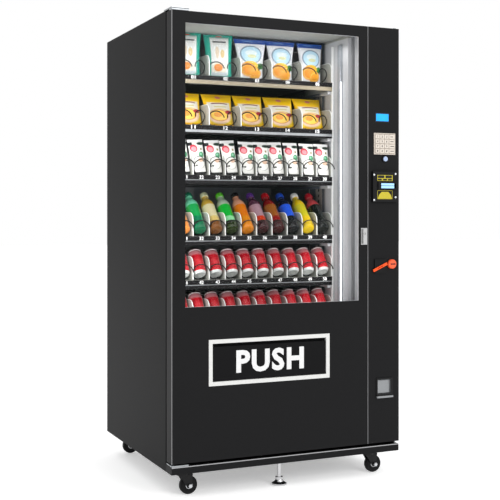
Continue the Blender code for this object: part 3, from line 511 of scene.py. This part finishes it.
floor, front, pitch, centres, tall = trays[1]
BAG_BACK = 0.060       # from the tray's front edge to the middle of the first bag
WHITE_BAGS = ((0.108, 1.40, -4), (0.101, 1.38, -2), (0.098, 1.30, 1))      # width, flare and turn of each
piece("teal_bags", "cabinet", teal_film,
      [bag(x - 0.004, front + BAG_BACK, floor + 0.002, 0.112, 0.186, 0.042, 1.16, math.radians(-10),
           lean=0.12, crease=0.0010)
       for x in centres[:2]], 80)
piece("white_bags", "cabinet", white_film,
      [bag(x, front + BAG_BACK, floor + 0.002, width, 0.176, 0.044, flare, math.radians(turn), lean=0.08,
           crease=0.0014)
       for x, (width, flare, turn) in zip(centres[2:], WHITE_BAGS)], 80)
floor, front, pitch, centres, tall = trays[2]
piece("gold_bags", "cabinet", gold_film,
      [bag(x + 0.006, front + BAG_BACK, floor + 0.002, 0.122, 0.142, 0.050, 1.17, math.radians(turn),
           lean=0.42, crease=0.0016)
       for x, turn in zip(centres, (3, 1, 2, 0, 2))], 80)


# ---- Pouches in the third row ------------------------------------------------------------------
# Flat-bottomed pouches of matt printed laminate with a welded top seal; each stands a little askew.
pouch_film = printed_film("film_pouch", ("#e6e6e0", "#f6f6f2"), [
    ("#17181a", (0.10, 0.87), (0.13, 0.050), True), ("#1d3328", (0.80, 0.875), (0.26, 0.045), False),
    ("#fafafa", (0.50, 0.96), (0.60, 0.035), True), ("#cf2f44", (0.27, 0.745), (0.24, 0.110), False),
    ("#f0949c", (0.27, 0.730), (0.17, 0.070), False), ("#8a7a4a", (0.76, 0.72), (0.07, 0.030), True),
    ("#3b8a5e", (0.72, 0.555), (0.20, 0.085), False), ("#7fbf9a", (0.68, 0.575), (0.10, 0.035), False),
    ("#2a2e33", (0.52, 0.335), (0.44, 0.185), False), ("#f3f3ec", (0.50, 0.325), (0.41, 0.170), False),
    ("#d9b49a", (0.62, 0.40), (0.20, 0.060), False), ("#3b2c22", (0.84, 0.37), (0.10, 0.022), False),
    ("#26302c", (0.28, 0.25), (0.08, 0.026), False), ("#141517", (0.50, 0.025), (0.60, 0.030), True)], 0.45)
floor, front, pitch, centres, tall = trays[3]
# Degrees about the upright and sideways, from the left.
POUCH_TURNS = (8, 7, 6, 8, 1, 2, 6, 5, 1, 0)
POUCH_TILTS = (4, 4, 3, 4, -1, 0, 2, 1, -1, -1)
pouches = [bag(x, front + 0.014, floor + 0.002, 0.064, 0.146, 0.030, 1.14, math.radians(turn),
               math.radians(tilt), 0.20, 0.0008)
           for x, turn, tilt in zip(centres, POUCH_TURNS, POUCH_TILTS)]
piece("pouches", "cabinet", pouch_film, pouches, 80)


# ---- Bottles in the fourth row and cans in the fifth and sixth ----------------------------------
# Both lean back with their bases to the front, one in each lane. Blown PET with a
# shrink sleeve, and drawn aluminium with a printed side and a bare domed base.

def turned(profile, base, axis, steps=24):
    """A turned solid: ring i has its centre at the base plus its height along the axis, and its radius there.
    A profile of (height, radius, hex) also gives each ring the colour of its film or metal, as paint."""
    axis = np.array(axis, float) / np.linalg.norm(axis)
    first = np.array([1.0, 0, 0]) if abs(axis[0]) < 0.9 else np.array([0, 1.0, 0])
    first = first - axis * first.dot(axis)
    first /= np.linalg.norm(first)
    second = np.cross(axis, first)
    heights, radii = np.array([ring[:2] for ring in profile]).T
    angle = np.linspace(0, 2 * math.pi, steps + 1)
    spoke = np.cos(angle)[:, None] * first + np.sin(angle)[:, None] * second
    points = np.array(base) + heights[:, None, None] * axis + radii[:, None, None] * spoke[None]
    paint = np.array([linear(ring[2]) for ring in profile])[:, None] if len(profile[0]) == 3 else None
    return grid(points, None, paint)


def painted(name, roughness, metallic=0.0, coat_weight=0.5):
    """A gloss finish that takes its colour from the paint on the rings, darkened a little in patches."""
    material, tree, shader, *_ = mottled(name, "#000000", "#ffffff", 0.006, roughness=roughness,
                                         metallic=metallic, coat_weight=coat_weight, coat_roughness=0.08)
    paint = add(tree, "ShaderNodeVertexColor", layer_name="paint").outputs[0]
    share = add(tree, "ShaderNodeMath", {0: tree.nodes["Noise Texture"].outputs["Fac"], 1: 0.12},
                operation="MULTIPLY").outputs[0]
    tree.links.new(blend_colours(tree, share, paint, "#101010"), shader.inputs["Base Color"])
    return material


def bottle(x, y, z, base, body, label, shoulder, cap):
    """A PET bottle lying back: rounded base, body, sleeve, shoulder, neck and cap, each in its own colour."""
    rings = [(0.005, 0, base), (0.001, 0.014, base), (0, 0.023, base), (0.003, 0.0285, base),
             (0.012, 0.0302, base), (0.034, 0.0302, base), (0.036, 0.0302, body), (0.060, 0.0302, body),
             (0.0602, 0.0305, label), (0.092, 0.0292, label), (0.130, 0.0304, label),
             (0.1302, 0.0308, shoulder), (0.148, 0.0292, shoulder), (0.166, 0.0215, shoulder),
             (0.178, 0.0140, shoulder), (0.190, 0.0125, shoulder), (0.1902, 0.0170, cap),
             (0.192, 0.0180, cap), (0.209, 0.0180, cap), (0.2135, 0.0155, cap), (0.2150, 0.0080, cap),
             (0.2152, 0, cap)]
    return turned(rings, (x, y, z), (0, 0.69, 0.72), 28)


def can(x, y, z):
    """A 330 ml can: stepped, domed base, straight red side, necked shoulder, rolled rim, recessed lid."""
    silver, red, rose = "#dfe2e0", "#d01a2a", "#cf8288"
    rings = [(0.006, 0, silver), (0.004, 0.014, silver), (0.0008, 0.0225, silver), (0, 0.0240, silver),
             (0.0012, 0.0258, silver), (0.0062, 0.0296, silver), (0.0100, 0.0308, silver),
             (0.0102, 0.0309, red), (0.012, 0.0312, red), (0.082, 0.0312, red), (0.090, 0.0311, rose),
             (0.097, 0.0305, rose), (0.108, 0.0272, rose), (0.1082, 0.0270, silver),
             (0.1095, 0.0284, silver), (0.1120, 0.0286, rose), (0.1128, 0.0276, rose),
             (0.1110, 0.0262, silver), (0.1075, 0.0255, silver), (0.1078, 0, silver)]
    return turned(rings, (x, y, z), (0, 0.545, 0.839), 28)


bottle_gloss = painted("pet_and_sleeve", 0.16)
floor, front, pitch, centres, tall = trays[4]
# Base, body, sleeve, shoulder and cap of each bottle, from the left.
BOTTLES = [("#d98436", "#e0924a", "#e8a060", "#d98a4c", "#3f9a4a"),
           ("#0d6b45", "#12784f", "#1fa050", "#6fd0a8", "#1d6b50"),
           ("#7a4a1c", "#d8c070", "#d9cfa4", "#c8a43c", "#dde0b4"),
           ("#27360f", "#8fdca0", "#16b438", "#b4c8b0", "#5fc832"),
           ("#d9820c", "#dc8810", "#e0780e", "#e0a080", "#161616"),
           ("#3a1418", "#c83a1c", "#b08c98", "#5c3348", "#5a2f8a"),
           ("#3c0c10", "#8c1818", "#9a5a20", "#8a1214", "#c41420"),
           ("#0e1114", "#14181f", "#2458dc", "#141c34", "#1f4fc8"),
           ("#d4b410", "#dcbc14", "#c8c024", "#e8c810", "#f2f2f2"),
           ("#0c100f", "#101413", "#141a18", "#c8484c", "#b81c2c")]
piece("bottles", "cabinet", bottle_gloss,
      [bottle(x, front + 0.012, floor + 0.023, *colours) for x, colours in zip(centres, BOTTLES)], 45)
can_print = painted("can_print", 0.22, 0.25)
for row in (5, 6):
    floor, front, pitch, centres, tall = trays[row]
    piece(f"cans_{row}", "cabinet", can_print, [can(x, front + 0.018, floor + 0.0195) for x in centres], 45)


# ---- Delivery bin and cooling unit ----------------------------------------------------------------
# Folded stainless bin behind the flap, and the cooling unit's painted compressor on its tray; the coin
# changer and the banknote reader's housing have the same grey paint.

# Brushed stainless: 0.3 mm scratches drawn at 2 mm.
brushed, *_ = mottled("stainless_brushed", "#7d7f81", "#8f9193", 0.002, roughness=0.36, metallic=1.0)
coat(brushed, "delivery_bin", "coin_flap")
# Grey machine enamel, satin with a light orange peel.
unit_paint, *_ = mottled("unit_grey_paint", "#3c3f43", "#4a4e52", 0.01, 0.0001, roughness=0.5)
coat(unit_paint, "refrigeration_unit", "coin_changer", "bill_validator")


# ---- Hinges --------------------------------------------------------------------------------------
# Folded brackets with pressed-in pins, bolted to the cabinet's corners, and a rod for the column's door.
# A packing plate fills the gap between the main door and the upper bracket.

# Bright zinc plate: cool grey metal with faint cloudy patches.
zinc, *_ = mottled("zinc_plate", "#8d9093", "#a7aaad", 0.008, roughness=0.34, metallic=1.0)
coat(zinc, "upper_hinge_bracket", "lower_hinge_bracket", "column_hinge_rod")
hinge_low, hinge_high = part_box("upper_hinge_bracket")
PACKING_Z = (1.9280, 1.9372)
piece("hinge_packing", "cabinet", pale_zinc,
      [slab((hinge_low[0] + 0.0005, hinge_low[1], PACKING_Z[0]),
            (hinge_high[0], hinge_low[1] + 0.0300, PACKING_Z[1]), corner=0.001)])


# ---- Main door -----------------------------------------------------------------------------------
# Welded steel frame, powder coated, with a double-glazed pane bedded in grey rubber.
# Inside the window opening the steel has the chamber's pale coat.

# Powder coat as on the cabinet outside, pale grey on the reveal.
door_coat, tree, shader, place, outside = mottled(
    "powder_coat_and_reveal", "#151516", "#1c1c1d", 0.003, 0.00012, roughness=0.45, specular_ior_level=0.06)
reveal = within(tree, place, [(0, True, -0.4950), (0, False, 0.3400), (1, True, -0.4385), (2, True, 0.7250),
                              (2, False, 1.9050)])
tree.links.new(blend_colours(tree, reveal, outside, "#bcbdc0"), shader.inputs["Base Color"])
coat(door_coat, "door_frame")
# Float glass: clear with a faint green body; the shader lets most light straight through.
glass, *_ = mottled("float_glass", "#1c2422", "#27302d", 0.3, roughness=0.02, alpha=0.05, ior=1.45)
coat(glass, "door_glass")
# EPDM rubber: matt grey, slightly dusty.
rubber, *_ = mottled("epdm_rubber", "#858688", "#959698", 0.004, roughness=0.8)
coat(rubber, "door_gasket")

# The folded edges of both doors are rounded over; the pale line down each door's left edge is a painted
# highlight where they catch the light.
edge_highlight, *_ = mottled("painted_edge_highlight", "#6b6b6c", "#7c7c7e", 0.02, roughness=0.35)
door_low, door_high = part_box("door_frame")
column_low, column_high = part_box("control_door")
piece("main_door_edge", "main_door", edge_highlight,
      [slab((door_low[0] - 0.0003, door_low[1] - 0.0004, door_low[2]),
            (door_low[0] + 0.0022, door_low[1] + 0.002, door_high[2]), corner=0.0005)])
piece("control_door_edge", "control_door", edge_highlight,
      [slab((column_low[0] - 0.0003, column_low[1] - 0.0004, column_low[2]),
            (column_low[0] + 0.0022, column_low[1] + 0.002, column_high[2]), corner=0.0005)])
# The plinth's top edge is rounded wider; its lighter line is a painted highlight.
lip_highlight, *_ = mottled("painted_lip_highlight", "#939395", "#a3a3a5", 0.02, roughness=0.35)
piece("plinth_lip", "cabinet", lip_highlight,
      [slab((-0.5215, -0.4388, 0.1240), (0.5215, -0.4360, 0.1275), corner=0.0005)])


# ---- Push flap -----------------------------------------------------------------------------------
# Moulded white bezel, black polycarbonate flap hung on a rod, and the word PUSH in white vinyl letters
# stuck on its face.

# Moulded ABS: even off-white with a soft sheen.
white_moulding, *_ = mottled("abs_white", "#c6c6c4", "#cfcfcd", 0.01, roughness=0.4)
coat(white_moulding, "flap_bezel")
# Textured polycarbonate: black and nearly matt.
black_moulding, *_ = mottled("polycarbonate_black", "#0f0f10", "#151516", 0.004, 0.00005, roughness=0.4,
                             specular_ior_level=0.05)
coat(black_moulding, "push_flap")
flap_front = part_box("push_flap")[0][1]
# Cut vinyl film: flat white.
vinyl, *_ = mottled("vinyl_white", "#cecece", "#d9d9d9", 0.02, roughness=0.45)
WORD_CENTRE, WORD_TALL, WORD_WIDE = (-0.093, 0.5285), 0.093, 0.306
piece("push_letters", "push_flap", vinyl,
      [lettering("PUSH", WORD_CENTRE, WORD_TALL, flap_front - 0.0001, WORD_WIDE, bold=0.038,
                 spacing=1.13)], 60)


# ---- Door handle and lock ------------------------------------------------------------------------
# Die-cast zinc, satin chrome plated, with a brass-cored lock barrel.
# Satin chrome plate: even pale grey, half mirror-like.
satin_chrome, *_ = mottled("satin_chrome", "#a9a9a9", "#c4c4c4", 0.004, roughness=0.28, metallic=0.9)
coat(satin_chrome, "handle_plate", "handle_lever", "handle_spindle", "lock_cylinder")
lock_low, lock_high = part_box("lock_cylinder")
lock_x, lock_z = (lock_low[0] + lock_high[0]) / 2, (lock_low[2] + lock_high[2]) / 2
shadow_black, *_ = mottled("slot_shadow", "#060606", "#0c0c0c", 0.004, roughness=0.8)
piece("key_slot", "lock", shadow_black,
      [slab((lock_x - 0.0009, lock_low[1] - 0.0003, lock_z - 0.0035),
            (lock_x + 0.0009, lock_low[1] + 0.0002, lock_z + 0.0035),
            corner=0.0004, bevel=0.0001)])


# ---- Control column door -------------------------------------------------------------------------
# A shallow folded tray of powder-coated steel that carries the display, the keypad and the pay units.
coat(powder_coat, "control_door")

# Backlit liquid-crystal display behind a clear lens: sky blue with faint lines 2 mm apart, in a dark mask.
lcd, tree, shader, place, colour = mottled(
    "lcd_blue", "#0c90ea", "#16a6fb", 0.03, roughness=0.15, emission_strength=0.35)
rows = add(tree, "ShaderNodeTexWave", {"Vector": place, "Scale": 80.0}, bands_direction="Z")
shade = add(tree, "ShaderNodeMath", {0: rows.outputs["Fac"], 1: 0.12}, operation="MULTIPLY").outputs[0]
field = within(tree, place, [(0, True, 0.4092), (0, False, 0.4708), (2, True, 1.5240), (2, False, 1.5550)])
lit = blend_colours(tree, field, "#0a1524", blend_colours(tree, shade, colour, "#0b5fb0"))
tree.links.new(lit, shader.inputs["Base Color"])
tree.links.new(lit, shader.inputs["Emission Color"])
coat(lcd, "display")

# Keypad: a beige moulded surround with silicone keys of the same colour and printed numerals.
silicone, *_ = mottled("silicone_beige", "#c3b9ae", "#cdc4b9", 0.006, roughness=0.6)
coat(silicone, "keypad_mat")
plate_beige, *_ = mottled("abs_dark_beige", "#b5aba0", "#c0b6ab", 0.006, roughness=0.5)
coat(plate_beige, "keypad_plate")
key_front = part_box("keypad_mat")[0][1]
KEY_X, KEY_Z = (0.41185, 0.43455, 0.45725), (1.45675, 1.43615, 1.41555, 1.39495)
key_ink, *_ = mottled("key_ink", "#2c2a28", "#383532", 0.01, roughness=0.5)
piece("key_numerals", "keypad", key_ink,
      [lettering(text, (KEY_X[key % 3], KEY_Z[key // 3]), 0.0085, key_front - 0.0001, bold=0.02, thick=0.0003)
       for key, text in enumerate("123456789*0#")], 60)

# The four function keys have short printed bars.
BAR_X = 0.4755
piece("key_bars", "keypad", key_ink,
      [slab((BAR_X, key_front - 0.0004, z - 0.0014), (BAR_X + wide, key_front - 0.0001, z + 0.0014),
            corner=0.0006, bevel=0.0001)
       for z, wide in zip(KEY_Z, (0.014, 0.017, 0.019, 0.018))])

# Round push button: a pale blue polished cap in a black ring.
cap_blue, *_ = mottled("button_pale_blue", "#93a5c4", "#a9b9d6", 0.006, roughness=0.25)
coat(cap_blue, "button_cap")

# Banknote reader: black moulding, a lit pale-blue mouth, and yellow direction labels.
reader_black, *_ = mottled("abs_black_matt", "#0b0b0c", "#111112", 0.004, roughness=0.5,
                           specular_ior_level=0.15)
coat(reader_black, "bill_bezel", "button_ring")


def rim(x, z, y, width, corner=0.002):
    """A flat frame round an opening: the outer and the inner rounded outlines, each at the front and at the
    back, joined into one closed ring."""
    middle = np.array([sum(x) / 2, sum(z) / 2])
    inner = rounded(((x[1] - x[0]) / 2, (z[1] - z[0]) / 2), corner) + middle
    outer = rounded(((x[1] - x[0]) / 2 + width, (z[1] - z[0]) / 2 + width), corner + width) + middle
    rows = [(outer, y[1]), (outer, y[0]), (inner, y[0]), (inner, y[1]), (outer, y[1])]
    return grid(np.stack([np.stack([loop[:, 0], np.full(len(loop), level), loop[:, 1]], axis=-1)
                          for loop, level in rows]))


def prism(outline, front, back):
    """A flat shape with straight sides: its outline at the front and at the back, each closed by one face."""
    count = len(outline)
    outline = np.array(outline, float)
    ends = [np.stack([outline[:, 0], np.full(count, level), outline[:, 1]], axis=-1)
            for level in (front, back)]
    sides = [[i, (i + 1) % count, (i + 1) % count + count, i + count] for i in range(count)]
    faces = sides + [list(range(count))[::-1], list(range(count, 2 * count))]
    return np.concatenate(ends), faces, np.zeros((2 * count, 2)), None


bezel_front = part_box("bill_bezel")[0][1]
PANEL_FRONT = bezel_front + 0.0060     # the bezel's flat behind the snout
MOUTH_RIGHT = 0.4865
LABEL_X = (0.406, 0.482)
# Clear polycarbonate lit from inside: pale blue.
glow_blue, tree, shader, place, colour = mottled(
    "lit_polycarbonate", "#93c6f2", "#a9d4f6", 0.02, roughness=0.3, emission_strength=0.12)
tree.links.new(colour, shader.inputs["Emission Color"])
piece("bill_mouth_light", "control_door", glow_blue,
      [prism([(left, top), (left, bottom), (MOUTH_RIGHT, bottom), (MOUTH_RIGHT, top)], bezel_front + 0.0004,
             bezel_front + 0.0030)
       for left, bottom, top in ((0.4155, 1.2463, 1.2557), (0.4175, 1.2343, 1.2443))])
# Printed vinyl labels: dull yellow with dark fields.
yellow_vinyl, *_ = mottled("vinyl_yellow", "#a89a0a", "#bbac10", 0.004, roughness=0.45)
piece("bill_labels", "control_door", yellow_vinyl,
      [prism([(LABEL_X[0], 1.266), (LABEL_X[1], 1.266), (LABEL_X[1], 1.291), (LABEL_X[0], 1.291)],
             PANEL_FRONT - 0.0003, PANEL_FRONT),
       rim((0.4075, 0.4795), (1.1895, 1.2235), (PANEL_FRONT - 0.0003, PANEL_FRONT), 0.0015, 0.001),
       prism([(0.408, 1.190), (0.479, 1.190), (0.473, 1.206), (0.460, 1.219), (0.427, 1.219), (0.414, 1.206)],
             PANEL_FRONT - 0.0003, PANEL_FRONT)], 60)
piece("bill_label_fields", "control_door", shadow_black,
      [slab((x, PANEL_FRONT - 0.0006, 1.2780), (x + 0.0325, PANEL_FRONT - 0.0003, 1.2892), corner=0.003,
            bevel=0.0001) for x in (0.4080, 0.4460)] +
      [slab((x, PANEL_FRONT - 0.0006, 1.2678), (x + 0.020, PANEL_FRONT - 0.0003, 1.2752), corner=0.002,
            bevel=0.0001) for x in (0.4080, 0.4340, 0.4585)])

# Coin units: an orange moulded coin slot bar and return knob on black plates, and a steel cup.
inlet_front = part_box("coin_inlet")[0][1]
coin_moulding, tree, shader, place, colour = mottled(
    "coin_inlet_black_and_orange", "#070708", "#0d0d0e", 0.004, roughness=0.4, specular_ior_level=0.15)
bar = within(tree, place, [(1, False, inlet_front + 0.0040)])
tree.links.new(blend_colours(tree, bar, colour, "#ee5322"), shader.inputs["Base Color"])
coat(coin_moulding, "coin_inlet")
# Moulded orange ABS, satin.
orange_moulding, *_ = mottled("abs_orange", "#ea4a1a", "#f45c28", 0.006, roughness=0.38)
coat(orange_moulding, "coin_return_knob")
knob_low, knob_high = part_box("coin_return_knob")
knob_x, knob_z = (knob_low[0] + knob_high[0]) / 2, (knob_low[2] + knob_high[2]) / 2
piece("knob_slot", "coin_return", shadow_black,
      [slab((knob_x - 0.0125, knob_low[1] - 0.0003, knob_z - 0.0026),
            (knob_x + 0.0125, knob_low[1] + 0.0002, knob_z + 0.0026), corner=0.0015, bevel=0.0001)])

# Stainless coin cup: its flange is painted black but for the lip along the bottom.
cup_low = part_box("coin_cup")[0]
cup_steel, tree, shader, place, colour = mottled(
    "stainless_and_black", "#7d7f81", "#8f9193", 0.002, roughness=0.36, metallic=0.6)
flange = within(tree, place, [(1, False, cup_low[1] + 0.0112), (2, True, cup_low[2] + 0.0080)])
tree.links.new(blend_colours(tree, flange, colour, "#141415"), shader.inputs["Base Color"])
coat(cup_steel, "coin_cup")

# Pan-head screws, bright zinc plated, hold the reader.
screw_zinc, *_ = mottled("zinc_bright", "#c4c6c8", "#dcdee0", 0.004, roughness=0.3, metallic=0.4)
SCREWS = ((0.390, 1.292), (0.497, 1.297), (0.390, 1.184), (0.497, 1.196))
SCREW_RINGS = [(0, 0), (0, 0.0046), (0.0010, 0.0045), (0.0020, 0.0032), (0.0023, 0.0012), (0.0012, 0)]
piece("reader_screws", "control_door", screw_zinc,
      [turned(SCREW_RINGS, (x, PANEL_FRONT, z), (0, -1, 0), 16) for x, z in SCREWS], 50)


# ---- Casters and foot ----------------------------------------------------------------------------
# Plate casters: black pressed forks, black nylon wheels with a bright hub, hex nuts on the plates; and a
# chromed levelling foot screwed into the front of the base.
fork_black, *_ = mottled("fork_black_zinc", "#0b0b0c", "#131314", 0.006, roughness=0.4,
                         specular_ior_level=0.2)
tyre_black, *_ = mottled("nylon_black", "#060607", "#0c0c0d", 0.004, roughness=0.5, specular_ior_level=0.15)
hub_zinc, *_ = mottled("hub_bright_zinc", "#b2b4b6", "#cdcfd1", 0.006, roughness=0.3, metallic=0.85)
BORE = 0.0056                       # the wheel's bore round its axle
for corner_name in ("front_left", "front_right", "rear_left", "rear_right"):
    coat(fork_black, f"{corner_name}_caster_fork")
    low, high = (np.array(end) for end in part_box(f"{corner_name}_caster_wheel"))
    middle, wide = (low + high) / 2, high[1] - low[1]
    start = (middle[0], low[1], middle[2])
    tread = [(0, BORE), (0, 0.021), (0.0015, 0.0235), (0.0015, 0.031), (0.0003, 0.0325), (0.002, 0.0355),
             (0.006, 0.0372)]
    profile = tread + [(wide - h, r) for h, r in tread[::-1]]
    tyre = turned(profile + [(0, BORE)], start, (0, 1, 0), 40)
    wheel = piece(f"{corner_name}_tyre", f"{corner_name}_wheel", tyre_black, [tyre], 40)
    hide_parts(f"{corner_name}_caster_wheel")
    cap = [(-0.0006, 0.0058), (-0.0006, 0.0135), (0.0004, 0.0150), (0.001, 0.0058), (-0.0006, 0.0058)]
    hubs = [turned(rings, start, (0, 1, 0), 32) for rings in (cap, [(wide - h, r) for h, r in cap])]
    piece(f"{corner_name}_hub", f"{corner_name}_wheel", hub_zinc, hubs, 40)
    # A hexagon nut on each end of the axle.
    fork_low, fork_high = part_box(f"{corner_name}_caster_fork")
    nut = [(0, 0), (0, 0.0085), (0.0045, 0.0085), (0.0055, 0.0070), (0.0055, 0)]
    piece(f"{corner_name}_axle_nuts", f"{corner_name}_swivel", hub_zinc,
          [turned(nut, (middle[0], y, middle[2]), (0, way, 0), 6)
           for y, way in ((fork_low[1], -1), (fork_high[1], 1))], 20)
# Bright chrome plate: mirror-like.
chrome, *_ = mottled("chrome_plate", "#b8b8ba", "#cccccd", 0.01, roughness=0.12, metallic=1.0)
coat(chrome, "levelling_foot")


# ---- Back of the machine ---------------------------------------------------------------------------
# A louvred grille lets the condenser breathe, and screws hold the rear cover.
cover_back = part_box("back_panel")[1][1]
VENT_X, VENT_Z = (-0.32, 0.32), (0.185, 0.385)
slats = np.linspace(VENT_Z[0], VENT_Z[1], 13)
piece("rear_louvres", "cabinet", powder_coat,
      [slab((VENT_X[0], cover_back + 0.0002, z), (VENT_X[1], cover_back + 0.0060, z + 0.009), corner=0.003,
            bevel=0.002)
       for z in slats])
piece("rear_screws", "cabinet", zinc,
      [turned(SCREW_RINGS, (x, cover_back, z), (0, 1, 0), 16)
       for x in (-0.49, 0.0, 0.49) for z in (0.16, 0.75, 1.30, 1.90)], 50)


# ---- Floor, lights and camera ----------------------------------------------------------------------
# A white studio floor and a white surround; a large soft light in front, and three slim ones in the chamber
# for what the lamp gives.

floor_paint, tree, shader, place, colour = mottled(
    "studio_floor", "#f8f8f8", "#fcfcfc", 0.5, roughness=0.7, emission_strength=0.40)
tree.links.new(colour, shader.inputs["Emission Color"])
floor_mesh = bpy.data.meshes.new("studio_floor")
floor_mesh.from_pydata([(-30, -30, -0.0005), (30, -30, -0.0005), (30, 30, -0.0005), (-30, 30, -0.0005)], [],
                       [(0, 1, 2, 3)])
floor_mesh.materials.append(floor_paint)
studio_floor = bpy.data.objects.new("studio_floor", floor_mesh)
bpy.context.scene.collection.objects.link(studio_floor)

world = bpy.data.worlds.new("studio")
world.use_nodes = True
world.node_tree.nodes["Background"].inputs["Color"].default_value = (1, 1, 1, 1)
world.node_tree.nodes["Background"].inputs["Strength"].default_value = 1.0
bpy.context.scene.world = world


def light(name, place, target, size, power, shown=True):
    """A rectangular area light at a place, turned to face a target."""
    lamp = bpy.data.lights.new(name, "AREA")
    lamp.shape, lamp.size, lamp.size_y, lamp.energy = "RECTANGLE", size[0], size[1], power
    holder = bpy.data.objects.new(name, lamp)
    direction = np.array(target, float) - np.array(place, float)
    holder.location = place
    holder.rotation_euler = (math.atan2(math.hypot(direction[0], direction[1]), -direction[2]), 0,
                             math.atan2(direction[1], direction[0]) - math.pi / 2)
    holder.visible_camera = False
    holder.visible_glossy = shown
    bpy.context.scene.collection.objects.link(holder)


light("key", (1.6, -6.0, 3.6), (0, 0, 1.0), (2.5, 2.5), 130)
light("chamber_left", (-0.462, -0.335, 1.18), (0.1, -0.05, 1.18), (0.03, 1.1), 2.0, False)
light("chamber_right", (0.290, -0.345, 1.20), (-0.3, -0.05, 1.20), (0.03, 1.1), 1.4, False)
light("chamber_front", (-0.07, -0.366, 1.85), (-0.07, -0.15, 1.0), (0.70, 0.02), 0.8, False)
bpy.context.scene.view_settings.view_transform = "Standard"

camera = bpy.data.cameras.new("camera")
camera.lens, camera.sensor_width, camera.shift_x, camera.shift_y = 73.25, 36.0, 0.0, -0.0744
eye = bpy.data.objects.new("camera", camera)
eye.location = (-1.876, -4.206, 1.129)
eye.rotation_euler = (math.radians(90), 0, math.radians(-24.17))
bpy.context.scene.collection.objects.link(eye)
bpy.context.scene.camera = eye
